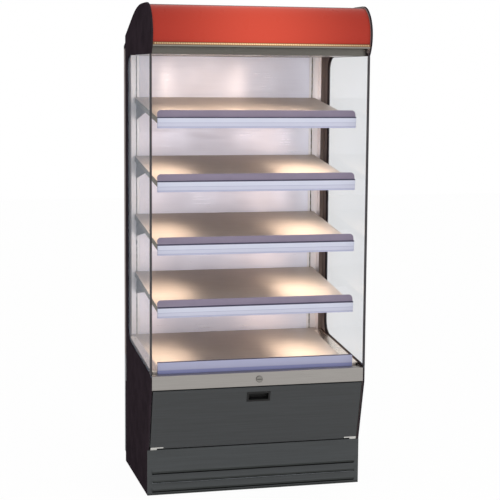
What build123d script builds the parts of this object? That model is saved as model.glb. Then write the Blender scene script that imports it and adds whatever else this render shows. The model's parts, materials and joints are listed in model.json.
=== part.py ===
"""Five-level heated self-serve display case: an open-fronted cabinet with glazed sides, tilted heated
shelves, a lit curved hood and a base that holds the blower, the heater and the controls.

Frame: +X to the right as a customer sees it, +Y to the rear, +Z up, millimetres.
The origin is on the floor, under the middle of the overall box.
"""

from build123d import *
import math
import os

os.makedirs("parts", exist_ok=True)

# Overall size
WIDTH = 910.0
DEPTH = 720.0
HEIGHT = 2010.0
FLOOR_GAP = 5.0

# Sheet and clearances
STEEL = 1.5
THIN_STEEL = 1.2
FIT = 0.3

# Side panels, seen from the side
NOSE_PROUD = 30.0
REAR_SETBACK = 88.0
SIDE_T = 8.0
SIDE_LIP = 2.0
REAR_BAND = 60.0
BASE_STEP = 15.0
BASE_STEP_TOP = 370.0
WINDOW_RADIUS = 60.0
WINDOW_REBATE = 12.0
SILL_RISE = 8.5

# Hood outline
HOOD_HEIGHT = 204.0
NOSE_RADIUS = 122.0
CROWN_FLAT = 89.0
CROWN_RADIUS = 640.0
CROWN_SLOPE = 21.8
HOOD_INSET = 7.0

# Base front
KICK_SETBACK = 66.0
KICK_TOP = 195.0
FASCIA_BOTTOM = 458.0
FASCIA_TOP = 516.0
FASCIA_SHELF = 45.0
FASCIA_RETURN = 15.0
FASCIA_BEND = 2.5
LOUVRE_COUNT = 3
LOUVRE_FIRST = 20.0
LOUVRE_PITCH = 37.5
LOUVRE_PROUD = 6.0
LOUVRE_RISE = 24.0
LOUVRE_SLOT = 7.0
LOUVRE_INSET = 20.0

# Service flap under the fascia
FLAP_ABOVE_KICK = 5.0
FLAP_GAP = 2.0
FLAP_SIDE_GAP = 4.0
FLAP_RIM = 12.0
HINGE_ABOVE_KICK = 6.5
HINGE_NOTCH = 4.0
HINGE_BEHIND_FACE = 3.2
HINGE_BARREL_R = 3.0
HINGE_PIN_R = 1.5
HINGE_LEAF = 27.0
HINGE_LEAF_RISE = 14.0
CUP_WIDTH = 100.0
CUP_HEIGHT = 44.0
CUP_BEZEL = 8.0
CUP_DEPTH = 24.0
CUP_DROP = 46.0

# Quarter-turn latch on the fascia
LATCH_R = 14.0
LATCH_PROUD = 4.0
LATCH_SHANK_R = 7.0
LATCH_REACH = 20.0
CAM_LENGTH = 42.0
CAM_WIDTH = 16.0
CAM_T = 3.0

# Glazing
PANE_T = 4.0
PANE_FRONT = 2.0
TRIM_DEPTH = 10.0

# Rear structure
DUCT_DEPTH = 53.0
REAR_SKIN_IN = 2.5
UPRIGHT_WIDTH = 43.0
UPRIGHT_DEPTH = 38.0
POST_WIDTH = 17.0
SLOTS_PER_STEP = 8
SLOT_SHARE = 0.625
SLOT_WIDTH = 5.0
UPRIGHT_DROP = 36.0
BOARD_T = 11.0

# Shelves
SHELF_COUNT = 4
TOP_BAY = 178.0
BOTTOM_BAY = 337.0
SHELF_TILT = 7.5
SHELF_SIDE_GAP = 37.0
SHELF_FRONT = 57.0
SHELF_RIM = 24.0
SHELF_REAR_GAP = 7.0
RAIL_OVERHANG = 5.0
RAIL_DEPTH = 8.0
RAIL_BOW = 1.6
RAIL_ABOVE = 7.0
RAIL_BELOW = 38.0
LIP_RISE = 25.0
LIP_LEAN = 26.0
LIP_RADIUS = 15.0
LIP_FOOT = 21.0
SLOT_INSET = 13.0
BRACKET_T = 3.0
BRACKET_DROP = 98.0
BRACKET_SHORT = 45.0
BRACKET_TIP_SHARE = 0.465
BRACKET_NOSE = 18.0
HOOK_DROP = 30.0
HOOK_HEIGHT = 13.0
LAMP_FROM_END = 100.0
LAMP_DEPTH = 200.0
LAMP_R = 32.0
LAMP_T = 17.0

# Bottom deck
DECK_TILT = 5.3
DECK_FRONT = 58.0
DECK_ABOVE_FASCIA = 7.0
DECK_SIDE_GAP = 13.0
DECK_RIM = 25.0
DECK_RAIL_ABOVE = 48.0
DECK_RAIL_BELOW = 9.0

# Chassis
TUBE = 30.0
TUBE_WALL = 2.0
FRAME_BOTTOM = 35.0
FRONT_POST_DEPTH = 95.0
FOOT_R = 15.0
FOOT_T = 8.0
STUD_R = 5.0

# Blower
FAN_R = 95.0
FAN_WIDTH = 90.0
FAN_BLADES = 24
SCROLL_R = 130.0
SCROLL_WIDTH = 140.0
FAN_BEHIND = 40.0
FAN_ABOVE_FLOOR = 8.8
SHAFT_R = 5.0
MOTOR_R = 52.0
MOTOR_LENGTH = 85.0

# Controls behind the flap
CONTROL_DROP = 28.0
DIAL_FROM_SIDE = 147.0
DIAL_DROP = 80.0
DIAL_R = 19.0
DIAL_T = 16.0
ROCKER_FROM_DIAL = 110.0
ROCKER_W = 22.0
ROCKER_H = 30.0

# Worked out from the values above
FRONT = -DEPTH / 2 + NOSE_PROUD
SIDE_DEPTH = DEPTH - NOSE_PROUD - REAR_SETBACK
INNER_HALF = WIDTH / 2 - SIDE_T
REAR = DEPTH - NOSE_PROUD
REAR_SKIN = REAR - REAR_SKIN_IN
WALL = REAR - DUCT_DEPTH
HOOD_BOTTOM = HEIGHT - HOOD_HEIGHT
NOSE_HEIGHT = HEIGHT - NOSE_RADIUS
NOSE_CENTRE = NOSE_RADIUS - NOSE_PROUD
LOWER_NOSE_R = ((NOSE_HEIGHT - HOOD_BOTTOM) ** 2 + NOSE_PROUD**2) / (2 * NOSE_PROUD)
CROWN_END = NOSE_CENTRE + CROWN_FLAT
SLOPE = math.radians(CROWN_SLOPE)
WINDOW_REAR = SIDE_DEPTH - REAR_BAND
SILL = FASCIA_TOP + SILL_RISE
DECK_RISE = math.tan(math.radians(DECK_TILT))
POST_INNER = INNER_HALF - POST_WIDTH
UPRIGHT_INNER = POST_INNER - UPRIGHT_WIDTH
SLOT_X = UPRIGHT_INNER + SLOT_INSET
UPRIGHT_FOOT = FASCIA_TOP - UPRIGHT_DROP
FRAME_TOP = FRAME_BOTTOM + TUBE
FLOOR_TOP = FRAME_TOP + THIN_STEEL
FLAP_BOTTOM = KICK_TOP + FLAP_ABOVE_KICK
HINGE_HEIGHT = KICK_TOP + HINGE_ABOVE_KICK
DECK_FRONT_TOP = FASCIA_TOP + DECK_ABOVE_FASCIA
SHELF_HALF = INNER_HALF - SHELF_SIDE_GAP
RAIL_HALF = SHELF_HALF + RAIL_OVERHANG
TOP_SHELF_REAR = HOOD_BOTTOM - TOP_BAY
SHELF_STEP = (TOP_SHELF_REAR - DECK_FRONT_TOP - BOTTOM_BAY) / (SHELF_COUNT - 1)
SLOT_PITCH = SHELF_STEP / SLOTS_PER_STEP
SLOT_HEIGHT = SLOT_SHARE * SLOT_PITCH

# Sketch plane for side profiles: first axis is the depth behind the side panels' front edge, second is height.
SIDE = Plane(origin=(0, FRONT, 0), x_dir=(0, 1, 0), z_dir=(1, 0, 0))


def keep(builder, name):
    """Labels a finished piece and writes it as its own node."""
    builder.part.label = name
    export_step(builder.part, f"parts/{name}.step")


def block(x0, x1, depth0, depth1, z0, z1, mode=Mode.ADD):
    """A block between two corners; depths are measured back from the side panels' front edge."""
    with Locations(((x0 + x1) / 2, FRONT + (depth0 + depth1) / 2, (z0 + z1) / 2)):
        Box(abs(x1 - x0), abs(depth1 - depth0), abs(z1 - z0), mode=mode)


def rod(x0, x1, depth, height, radius, mode=Mode.ADD):
    """A round bar along X."""
    with Locations(((x0 + x1) / 2, FRONT + depth, height)):
        Cylinder(radius, abs(x1 - x0), rotation=(0, 90, 0), mode=mode)


def hood_face(inset, end_depth, mode=Mode.ADD):
    """The hood's side outline, moved in by an inset, as a face that reaches down to the hood's bottom."""
    nose = -NOSE_PROUD + inset
    top = HEIGHT - inset
    lower_r = LOWER_NOSE_R - inset
    lower_centre = -NOSE_PROUD + LOWER_NOSE_R
    start = lower_centre - math.sqrt(lower_r**2 - (NOSE_HEIGHT - HOOD_BOTTOM) ** 2)
    crown_r = CROWN_RADIUS - inset
    slope_start = (CROWN_END + crown_r * math.sin(SLOPE), top - crown_r * (1 - math.cos(SLOPE)))
    slope_end = (end_depth, slope_start[1] - (end_depth - slope_start[0]) * math.tan(SLOPE))
    with BuildLine() as outline:
        TangentArc((nose, NOSE_HEIGHT), (start, HOOD_BOTTOM), tangent=(0, -1))
        TangentArc((nose, NOSE_HEIGHT), (NOSE_CENTRE, top), tangent=(0, 1))
        Line((NOSE_CENTRE, top), (CROWN_END, top))
        TangentArc((CROWN_END, top), slope_start, tangent=(1, 0))
        Polyline(slope_start, slope_end, (end_depth, HOOD_BOTTOM), (start, HOOD_BOTTOM))
    make_face(outline.edges(), mode=mode)


def window_face(grow, front, mode=Mode.ADD):
    """The glazed opening of a side panel, open to the front, grown by a rebate at the other three edges."""
    rear = WINDOW_REAR + grow
    top = HOOD_BOTTOM + grow
    corners = [
        (front, SILL + front * DECK_RISE - grow),
        (rear, SILL + rear * DECK_RISE - grow),
        (rear, top),
        (front, top),
    ]
    with BuildSketch(SIDE, mode=Mode.PRIVATE) as opening:
        with BuildLine():
            Polyline(*corners, close=True)
        make_face()
        fillet(opening.vertices().group_by(Axis.X)[-1], WINDOW_RADIUS)
    add(opening.sketch_local, mode=mode)


# Side panels: dark skins that carry the hood's ends, the rear band and the base's sides
for side, word in ((-1, "left"), (1, "right")):
    with BuildPart() as side_panel:
        with BuildSketch(SIDE.offset(side * WIDTH / 2)):
            with BuildLine():
                Polyline(
                    (0, HOOD_BOTTOM + STEEL),
                    (0, FASCIA_BOTTOM),
                    (KICK_SETBACK + STEEL, KICK_TOP),
                    (KICK_SETBACK + STEEL, FLOOR_GAP),
                    (SIDE_DEPTH + BASE_STEP, FLOOR_GAP),
                    (SIDE_DEPTH + BASE_STEP, BASE_STEP_TOP),
                    (SIDE_DEPTH, BASE_STEP_TOP),
                    (SIDE_DEPTH, HOOD_BOTTOM + STEEL),
                    close=True,
                )
            make_face()
            hood_face(0, SIDE_DEPTH)
        extrude(amount=-side * SIDE_T)
        with BuildSketch(SIDE.offset(side * WIDTH / 2)):
            window_face(0, -TRIM_DEPTH)
        extrude(amount=-side * SIDE_T, mode=Mode.SUBTRACT)
        with BuildSketch(SIDE.offset(side * INNER_HALF)):
            window_face(WINDOW_REBATE, -TRIM_DEPTH)
            with Locations((0, HOOD_BOTTOM)):
                Rectangle(NOSE_PROUD, HOOD_HEIGHT, align=(Align.MAX, Align.MIN), mode=Mode.SUBTRACT)
        extrude(amount=side * (SIDE_T - SIDE_LIP), mode=Mode.SUBTRACT)
    keep(side_panel, f"side_panel_{word}")

# Side glazing: one toughened pane a side, in the panel's rebate
PANE_OUTER = WIDTH / 2 - SIDE_LIP
PANE_INNER = PANE_OUTER - PANE_T
with BuildPart() as side_glass:
    for side in (-1, 1):
        with BuildSketch(SIDE.offset(side * PANE_OUTER)):
            window_face(WINDOW_REBATE - FIT, PANE_FRONT)
        extrude(amount=-side * PANE_T)
keep(side_glass, "side_glass")

# Channel trims on the panes' front edges, with the beads that hold the panes in their rebates
SILL_FRONT = SILL + FIT
CHANNEL_FOOT = SILL_FRONT + 1.0
with BuildPart() as glass_edge_trims:
    for side in (-1, 1):
        x_in, x_out = side * INNER_HALF, side * (WIDTH / 2)
        x_pane_in, x_pane_out = side * (PANE_INNER - FIT), side * (PANE_OUTER + FIT)
        block(x_in, x_out, 0, STEEL, SILL_FRONT, HOOD_BOTTOM - FIT)
        block(x_in, x_pane_in, 0, TRIM_DEPTH, CHANNEL_FOOT, HOOD_BOTTOM - FIT)
        block(x_pane_out, x_out, 0, TRIM_DEPTH, CHANNEL_FOOT, HOOD_BOTTOM - FIT)
        with BuildSketch(SIDE.offset(x_in)):
            window_face(WINDOW_REBATE - FIT, STEEL)
            window_face(0, -TRIM_DEPTH, mode=Mode.SUBTRACT)
        extrude(amount=side * (PANE_INNER - FIT - INNER_HALF))
keep(glass_edge_trims, "glass_edge_trims")

# Slotted uprights that carry the shelves
UPRIGHT_RISE = 44.0
UPRIGHT_TOP = HOOD_BOTTOM + UPRIGHT_RISE
HOOK_LEVEL = TOP_SHELF_REAR - HOOK_DROP
SLOTS_BELOW = int((HOOK_LEVEL - SLOT_HEIGHT - UPRIGHT_FOOT - DECK_RIM) / SLOT_PITCH)
SLOTS_ABOVE = int((UPRIGHT_TOP - HOOK_LEVEL - SLOT_HEIGHT) / SLOT_PITCH)
with BuildPart() as uprights:
    for side in (-1, 1):
        x_in, x_out = side * UPRIGHT_INNER, side * POST_INNER
        block(x_in, x_out, WALL, WALL + UPRIGHT_DEPTH, UPRIGHT_FOOT, UPRIGHT_TOP)
        block(
            x_in + side * STEEL,
            x_out - side * STEEL,
            WALL + STEEL,
            WALL + UPRIGHT_DEPTH,
            UPRIGHT_FOOT,
            UPRIGHT_TOP,
            mode=Mode.SUBTRACT,
        )
        for n in range(-SLOTS_BELOW, SLOTS_ABOVE + 1):
            with Locations((side * SLOT_X, FRONT + WALL + STEEL / 2, HOOK_LEVEL + n * SLOT_PITCH)):
                Box(SLOT_WIDTH, 2 * STEEL, SLOT_HEIGHT, mode=Mode.SUBTRACT)
keep(uprights, "uprights")

# Inner back wall, a shallow pan between the uprights
WALL_FLANGE = 12.0
WALL_BOTTOM = DECK_FRONT_TOP + (WALL - DECK_FRONT) * DECK_RISE - DECK_RIM
CANOPY = HOOD_BOTTOM + FIT
with BuildPart() as back_wall:
    x_edge = UPRIGHT_INNER - FIT
    block(-x_edge, x_edge, WALL, WALL + WALL_FLANGE, WALL_BOTTOM, CANOPY)
    block(
        -x_edge + THIN_STEEL,
        x_edge - THIN_STEEL,
        WALL + THIN_STEEL,
        WALL + WALL_FLANGE,
        WALL_BOTTOM + THIN_STEEL,
        CANOPY - THIN_STEEL,
        mode=Mode.SUBTRACT,
    )
keep(back_wall, "back_wall")

# Rear posts: box sections beside the uprights that close the cabinet behind the side panels
COVER_CLEAR = 12.0
POST_LAP = 6.0
REAR_TOP = HEIGHT - HOOD_INSET - CROWN_RADIUS * (1 - math.cos(SLOPE)) - (
    REAR - CROWN_END - CROWN_RADIUS * math.sin(SLOPE)
) * math.tan(SLOPE) - COVER_CLEAR
POST_FRONT = SIDE_DEPTH - POST_LAP
with BuildPart() as rear_posts:
    for side in (-1, 1):
        x_in, x_out = side * POST_INNER, side * INNER_HALF
        block(x_in, x_out, POST_FRONT, REAR_SKIN - STEEL, UPRIGHT_FOOT, REAR_TOP)
        block(
            x_in + side * STEEL,
            x_out - side * STEEL,
            POST_FRONT + STEEL,
            REAR_SKIN - 2 * STEEL,
            UPRIGHT_FOOT,
            REAR_TOP,
            mode=Mode.SUBTRACT,
        )
keep(rear_posts, "rear_posts")

# Upper rear panel with its row of vent slots
VENT_WIDTH = 60.0
VENT_PITCH = 80.0
VENT_HEIGHT = 6.0
VENT_ROW = 18.0
VENT_DROP = 60.0
PANEL_SPLIT = UPRIGHT_FOOT
with BuildPart() as rear_panel:
    block(-INNER_HALF, INNER_HALF, REAR_SKIN - STEEL, REAR_SKIN, PANEL_SPLIT + FIT, REAR_TOP)
    vents = int((2 * INNER_HALF - 2 * VENT_PITCH) / VENT_PITCH)
    with Locations((0, FRONT + REAR_SKIN, REAR_TOP - VENT_DROP)):
        with GridLocations(VENT_PITCH, 1, vents, 1):
            for row in range(3):
                with Locations((0, 0, -row * VENT_ROW)):
                    Box(VENT_WIDTH, 4 * STEEL, VENT_HEIGHT, mode=Mode.SUBTRACT)
keep(rear_panel, "rear_panel")

# Insulation board between the hot-air duct and the rear panel
with BuildPart() as insulation_board:
    block(
        -POST_INNER,
        POST_INNER,
        REAR_SKIN - STEEL - BOARD_T,
        REAR_SKIN - STEEL,
        UPRIGHT_FOOT,
        UPRIGHT_TOP - TUBE,
    )
keep(insulation_board, "insulation_board")

# Hood: curved sign, lit strip, sill profile, front rail, ceiling and top cover
SIGN_T = 3.0
SIGN_BOTTOM = HOOD_BOTTOM + 47.0
SIGN_TOP_DEPTH = 73.0
STRIP_HEIGHT = 11.0
STRIP_DEPTH = 9.0
SILL_T = 3.0
SILL_LIP = 6.0
SILL_FRONT_INSET = 2.0
STRIP_EDGE_R = 2.0
FRONT_RAIL_DEPTH = 21.0
FRONT_RAIL_LIP = 22.0
HOOD_HALF = INNER_HALF - FIT
with BuildPart() as hood_sign:
    with BuildSketch(SIDE.offset(-HOOD_HALF)):
        hood_face(HOOD_INSET, SIDE_DEPTH)
        hood_face(HOOD_INSET + SIGN_T, SIDE_DEPTH, mode=Mode.SUBTRACT)
        with Locations((-NOSE_PROUD, SIGN_BOTTOM)):
            Rectangle(
                NOSE_PROUD + SIGN_TOP_DEPTH,
                HEIGHT - SIGN_BOTTOM,
                align=(Align.MIN, Align.MIN),
                mode=Mode.INTERSECT,
            )
    extrude(amount=2 * HOOD_HALF)
keep(hood_sign, "hood_sign")

STRIP_FRONT = -NOSE_PROUD + HOOD_INSET - 1.0
STRIP_BOTTOM = SIGN_BOTTOM - STRIP_HEIGHT
with BuildPart() as sign_light_strip:
    block(-HOOD_HALF, HOOD_HALF, STRIP_FRONT, STRIP_FRONT + STRIP_DEPTH, STRIP_BOTTOM, SIGN_BOTTOM - FIT)
    fillet(sign_light_strip.edges().filter_by(Axis.X).group_by(Axis.Y)[0], STRIP_EDGE_R)
keep(sign_light_strip, "sign_light_strip")

SILL_BOTTOM = STRIP_BOTTOM - SILL_T
with BuildPart() as hood_sill:
    sill_front = STRIP_FRONT + SILL_FRONT_INSET
    block(-HOOD_HALF, HOOD_HALF, sill_front, FRONT_RAIL_DEPTH + STEEL, SILL_BOTTOM, STRIP_BOTTOM)
    block(-HOOD_HALF, HOOD_HALF, sill_front, sill_front + STEEL, STRIP_BOTTOM - SILL_LIP, STRIP_BOTTOM)
    block(
        -HOOD_HALF,
        HOOD_HALF,
        STRIP_FRONT + STRIP_DEPTH + FIT,
        STRIP_FRONT + STRIP_DEPTH + STEEL,
        STRIP_BOTTOM,
        SIGN_BOTTOM - FIT,
    )
keep(hood_sill, "hood_sill")

with BuildPart() as hood_front_rail:
    block(-HOOD_HALF, HOOD_HALF, FRONT_RAIL_DEPTH, FRONT_RAIL_DEPTH + STEEL, HOOD_BOTTOM, SILL_BOTTOM)
    block(
        -HOOD_HALF,
        HOOD_HALF,
        FRONT_RAIL_DEPTH,
        FRONT_RAIL_DEPTH + FRONT_RAIL_LIP,
        HOOD_BOTTOM,
        HOOD_BOTTOM + STEEL,
    )
keep(hood_front_rail, "hood_front_rail")

CANOPY_LAMP_X = INNER_HALF - 157.0
CANOPY_LAMP_DEPTH = 190.0
CEILING_FRONT = FRONT_RAIL_DEPTH + 6.0
CEILING_REAR = WALL + 10.0
CEILING_TURN_UP = 20.0
CEILING_BOTTOM = HOOD_BOTTOM + STEEL
LAMP_HOLE_R = LAMP_R - 2.0
with BuildPart() as canopy_ceiling:
    block(-HOOD_HALF, HOOD_HALF, CEILING_FRONT, CEILING_REAR, CEILING_BOTTOM, CEILING_BOTTOM + STEEL)
    block(
        -HOOD_HALF,
        HOOD_HALF,
        CEILING_REAR - STEEL,
        CEILING_REAR,
        CEILING_BOTTOM,
        CEILING_BOTTOM + CEILING_TURN_UP,
    )
    for side in (-1, 1):
        for inner, front in ((UPRIGHT_INNER, WALL), (POST_INNER, POST_FRONT)):
            block(
                side * (inner - FIT),
                side * INNER_HALF,
                front - FIT,
                CEILING_REAR + FIT,
                CEILING_BOTTOM - FIT,
                CEILING_BOTTOM + CEILING_TURN_UP + FIT,
                mode=Mode.SUBTRACT,
            )
    for x in (-CANOPY_LAMP_X, 0, CANOPY_LAMP_X):
        with Locations((x, FRONT + CANOPY_LAMP_DEPTH, CEILING_BOTTOM)):
            Cylinder(LAMP_HOLE_R, 4 * STEEL, mode=Mode.SUBTRACT)
keep(canopy_ceiling, "canopy_ceiling")

# Canopy lamps: a flanged cup through the ceiling with its lens disc, three times
LENS_T = 2.0
LENS_R = LAMP_R - 6.0
LENS_RECESS = 3.0
FLANGE_R = LAMP_R + 3.0
CUP_TALL = 40.0
CUP_ROOF = 6.0
UPWARD = (Align.CENTER, Align.CENTER, Align.MIN)
DOWNWARD = (Align.CENTER, Align.CENTER, Align.MAX)
with BuildPart() as canopy_lamps:
    for x in (-CANOPY_LAMP_X, 0, CANOPY_LAMP_X):
        with Locations((x, FRONT + CANOPY_LAMP_DEPTH, CEILING_BOTTOM)):
            Cylinder(FLANGE_R, STEEL, align=DOWNWARD)
            Cylinder(LAMP_HOLE_R - FIT, CUP_TALL, align=UPWARD)
            Cylinder(LENS_R, 2 * (CUP_TALL - CUP_ROOF), mode=Mode.SUBTRACT)
        with Locations((x, FRONT + CANOPY_LAMP_DEPTH, CEILING_BOTTOM + LENS_RECESS)):
            Cylinder(LENS_R, LENS_T, align=UPWARD)
keep(canopy_lamps, "canopy_lamps")

# Top cover of the hood, from the sign's upper edge to the rear panel
COVER_FRONT = SIGN_TOP_DEPTH + 1.0
COVER_FLANGE = 24.0
with BuildPart() as hood_cover:
    with BuildSketch(SIDE.offset(-HOOD_HALF)):
        hood_face(HOOD_INSET, REAR - STEEL)
        hood_face(HOOD_INSET + STEEL, REAR - STEEL, mode=Mode.SUBTRACT)
        with Locations((COVER_FRONT, HOOD_BOTTOM)):
            Rectangle(REAR, HOOD_HEIGHT, align=(Align.MIN, Align.MIN), mode=Mode.INTERSECT)
    extrude(amount=2 * HOOD_HALF)
    rear_edge_z = hood_cover.faces().sort_by(Axis.Y)[-1].center().Z
    block(-HOOD_HALF, HOOD_HALF, REAR_SKIN, REAR - STEEL / 2, rear_edge_z - COVER_FLANGE, rear_edge_z)
keep(hood_cover, "hood_cover")

# Tube that lights the sign, in its two holders
TUBE_LIGHT_R = 13.0
TUBE_LIGHT_DEPTH = 60.0
TUBE_LIGHT_Z = HOOD_BOTTOM + 110.0
HOLDER_T = 16.0
HOLDER_HALF = 16.0
HOLDER_DROP = 24.0
HOLDER_RISE = 18.0
TUBE_HALF = HOOD_HALF - HOLDER_T
with BuildPart() as sign_tube:
    rod(-TUBE_HALF, TUBE_HALF, TUBE_LIGHT_DEPTH, TUBE_LIGHT_Z, TUBE_LIGHT_R)
    for side in (-1, 1):
        block(
            side * TUBE_HALF,
            side * INNER_HALF,
            TUBE_LIGHT_DEPTH - HOLDER_HALF,
            TUBE_LIGHT_DEPTH + HOLDER_HALF,
            TUBE_LIGHT_Z - HOLDER_DROP,
            TUBE_LIGHT_Z + HOLDER_RISE,
        )
keep(sign_tube, "sign_tube")


def bowed_rail(plane, length, front_y, back_y, bottom, top):
    """A hollow label rail along X: flat back, bowed front. The plane's axes are depth and height."""
    wall = THIN_STEEL
    with BuildSketch(plane) as profile:
        with BuildLine():
            ThreePointArc((front_y, bottom), (front_y - RAIL_BOW, (bottom + top) / 2), (front_y, top))
            Polyline((front_y, top), (back_y, top), (back_y, bottom), (front_y, bottom))
        make_face()
        with BuildLine():
            ThreePointArc(
                (front_y + wall, bottom + wall),
                (front_y - RAIL_BOW + wall, (bottom + top) / 2),
                (front_y + wall, top - wall),
            )
            Polyline(
                (front_y + wall, top - wall),
                (back_y - wall, top - wall),
                (back_y - wall, bottom + wall),
                (front_y + wall, bottom + wall),
            )
        make_face(mode=Mode.SUBTRACT)
    extrude(profile.sketch, amount=length)


# Bottom deck: a shallow tilted pan with its own label rail in front
DECK_REAR_GAP = 5.0
DECK_HALF = INNER_HALF - DECK_SIDE_GAP
DECK_LENGTH = (WALL - DECK_REAR_GAP - DECK_FRONT) / math.cos(math.radians(DECK_TILT))
DECK = Plane(
    origin=(0, FRONT + DECK_FRONT, DECK_FRONT_TOP),
    x_dir=(1, 0, 0),
    z_dir=(0, -math.sin(math.radians(DECK_TILT)), math.cos(math.radians(DECK_TILT))),
)
with BuildPart() as deck_pan:
    with BuildSketch(DECK):
        Rectangle(2 * DECK_HALF, DECK_LENGTH, align=(Align.CENTER, Align.MIN))
    extrude(amount=-DECK_RIM)
    with BuildSketch(DECK.offset(-THIN_STEEL)):
        with Locations((0, THIN_STEEL)):
            Rectangle(
                2 * (DECK_HALF - THIN_STEEL),
                DECK_LENGTH - 2 * THIN_STEEL,
                align=(Align.CENTER, Align.MIN),
            )
    extrude(amount=-DECK_RIM, mode=Mode.SUBTRACT)
    for side in (-1, 1):
        block(
            side * (POST_INNER - FIT),
            side * INNER_HALF,
            POST_FRONT - FIT,
            WALL,
            DECK_FRONT_TOP - DECK_RIM,
            DECK_FRONT_TOP + WALL * DECK_RISE,
            mode=Mode.SUBTRACT,
        )
keep(deck_pan, "deck_pan")

DECK_RAIL_BACK = DECK_FRONT - FIT
with BuildPart() as deck_rail:
    bowed_rail(
        SIDE.offset(-RAIL_HALF),
        2 * RAIL_HALF,
        DECK_RAIL_BACK - RAIL_DEPTH,
        DECK_RAIL_BACK,
        FASCIA_TOP - DECK_RAIL_BELOW,
        FASCIA_TOP + DECK_RAIL_ABOVE,
    )
keep(deck_rail, "deck_rail")

# Stainless fascia over the flap, with the hole for the latch
LATCH_Z = (FASCIA_BOTTOM + FASCIA_TOP) / 2
with BuildPart() as fascia:
    with BuildSketch(SIDE.offset(-INNER_HALF)) as fold:
        with Locations((0, FASCIA_BOTTOM)):
            Rectangle(FASCIA_SHELF, FASCIA_TOP - FASCIA_BOTTOM, align=(Align.MIN, Align.MIN))
        fillet(fold.vertices().group_by(Axis.X)[0], FASCIA_BEND)
        offset(amount=-THIN_STEEL, mode=Mode.SUBTRACT)
        with Locations((FASCIA_SHELF, FASCIA_TOP - THIN_STEEL)):
            Rectangle(
                FASCIA_SHELF - FASCIA_RETURN,
                FASCIA_TOP - FASCIA_BOTTOM,
                align=(Align.MAX, Align.MAX),
                mode=Mode.SUBTRACT,
            )
    extrude(amount=2 * INNER_HALF)
    with Locations((0, FRONT, LATCH_Z)):
        Cylinder(LATCH_SHANK_R + FIT, 4 * STEEL, rotation=(90, 0, 0), mode=Mode.SUBTRACT)
keep(fascia, "fascia")

# Quarter-turn latch: slotted head, shank through the fascia and a cam behind it
COIN_SLOT = 2.2
COIN_SLOT_LENGTH = 2 * LATCH_R - 6.0
HEAD_CHAMFER = 1.0
with BuildPart() as latch_knob:
    with BuildSketch(Plane.XZ.offset(-(FRONT - FIT))):
        with Locations((0, LATCH_Z)):
            Circle(LATCH_R)
    extrude(amount=LATCH_PROUD)
    chamfer(latch_knob.faces().sort_by(Axis.Y)[0].edges(), HEAD_CHAMFER)
    with Locations((0, FRONT - FIT - LATCH_PROUD, LATCH_Z)):
        Box(COIN_SLOT_LENGTH, 2 * COIN_SLOT, COIN_SLOT, mode=Mode.SUBTRACT)
    with Locations((0, FRONT + (LATCH_REACH + CAM_T) / 2, LATCH_Z)):
        Cylinder(LATCH_SHANK_R, LATCH_REACH + CAM_T, rotation=(90, 0, 0))
    block(
        -CAM_WIDTH / 2,
        CAM_LENGTH,
        LATCH_REACH,
        LATCH_REACH + CAM_T,
        LATCH_Z - CAM_WIDTH / 2,
        LATCH_Z + CAM_WIDTH / 2,
    )
keep(latch_knob, "latch_knob")

# Kick plate with three pressed louvres across it
LOUVRE_HALF = WIDTH / 2 - LOUVRE_INSET
KICK_FLANGE = 20.0
with BuildPart() as kick_plate:
    block(-WIDTH / 2, WIDTH / 2, KICK_SETBACK, KICK_SETBACK + STEEL, FLOOR_GAP, KICK_TOP)
    block(-INNER_HALF, INNER_HALF, KICK_SETBACK, KICK_SETBACK + KICK_FLANGE, KICK_TOP - STEEL, KICK_TOP)
    for n in range(LOUVRE_COUNT):
        height = LOUVRE_FIRST + n * LOUVRE_PITCH
        block(
            -LOUVRE_HALF,
            LOUVRE_HALF,
            KICK_SETBACK - STEEL,
            KICK_SETBACK + 2 * STEEL,
            height - LOUVRE_SLOT / 2,
            height + LOUVRE_SLOT / 2,
            mode=Mode.SUBTRACT,
        )
        with BuildSketch(SIDE.offset(-LOUVRE_HALF)):
            with BuildLine():
                Polyline(
                    (KICK_SETBACK, height + LOUVRE_RISE),
                    (KICK_SETBACK - LOUVRE_PROUD, height),
                    (KICK_SETBACK - LOUVRE_PROUD + STEEL, height),
                    (KICK_SETBACK + STEEL, height + LOUVRE_RISE - 2 * STEEL),
                    (KICK_SETBACK + STEEL, height + LOUVRE_RISE),
                    close=True,
                )
            make_face()
        extrude(amount=2 * LOUVRE_HALF)
keep(kick_plate, "kick_plate")

# Service flap: a leaning pan between the side panels, hinged along its lower edge
LEAN = math.atan2(KICK_SETBACK, FASCIA_BOTTOM - KICK_TOP)
FLAP_TOP = FASCIA_BOTTOM - FLAP_GAP - FLAP_RIM * math.sin(LEAN)
FLAP_LENGTH = (FLAP_TOP - FLAP_BOTTOM) / math.cos(LEAN)
FLAP_HALF = INNER_HALF - FLAP_SIDE_GAP
FLAP = Plane(
    origin=(0, FRONT + KICK_SETBACK - FLAP_ABOVE_KICK * math.tan(LEAN), FLAP_BOTTOM),
    x_dir=(1, 0, 0),
    z_dir=(0, -math.cos(LEAN), -math.sin(LEAN)),
)
CUP_ALONG = (FASCIA_BOTTOM - CUP_DROP - FLAP_BOTTOM) / math.cos(LEAN)
CUP_WALL = STEEL
CUP_HOLLOW_X = CUP_WIDTH - 2 * CUP_BEZEL
CUP_HOLLOW_Y = CUP_HEIGHT - 2 * CUP_BEZEL
CUP_CHAMFER = 1.0
HINGE_DEPTH = KICK_SETBACK - HINGE_ABOVE_KICK * math.tan(LEAN) + HINGE_BEHIND_FACE / math.cos(LEAN)
HINGE_OUTER = FLAP_HALF - 1.0
HINGE_MID = HINGE_OUTER - HINGE_LEAF
HINGE_INNER = HINGE_MID - HINGE_LEAF
HINGE_FOOT = 14.0
NOTCH_TOP = (HINGE_HEIGHT + HINGE_NOTCH - FLAP_BOTTOM) / math.cos(LEAN)
KEEPER_HALF = CAM_WIDTH / 2 + 6.0
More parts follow.
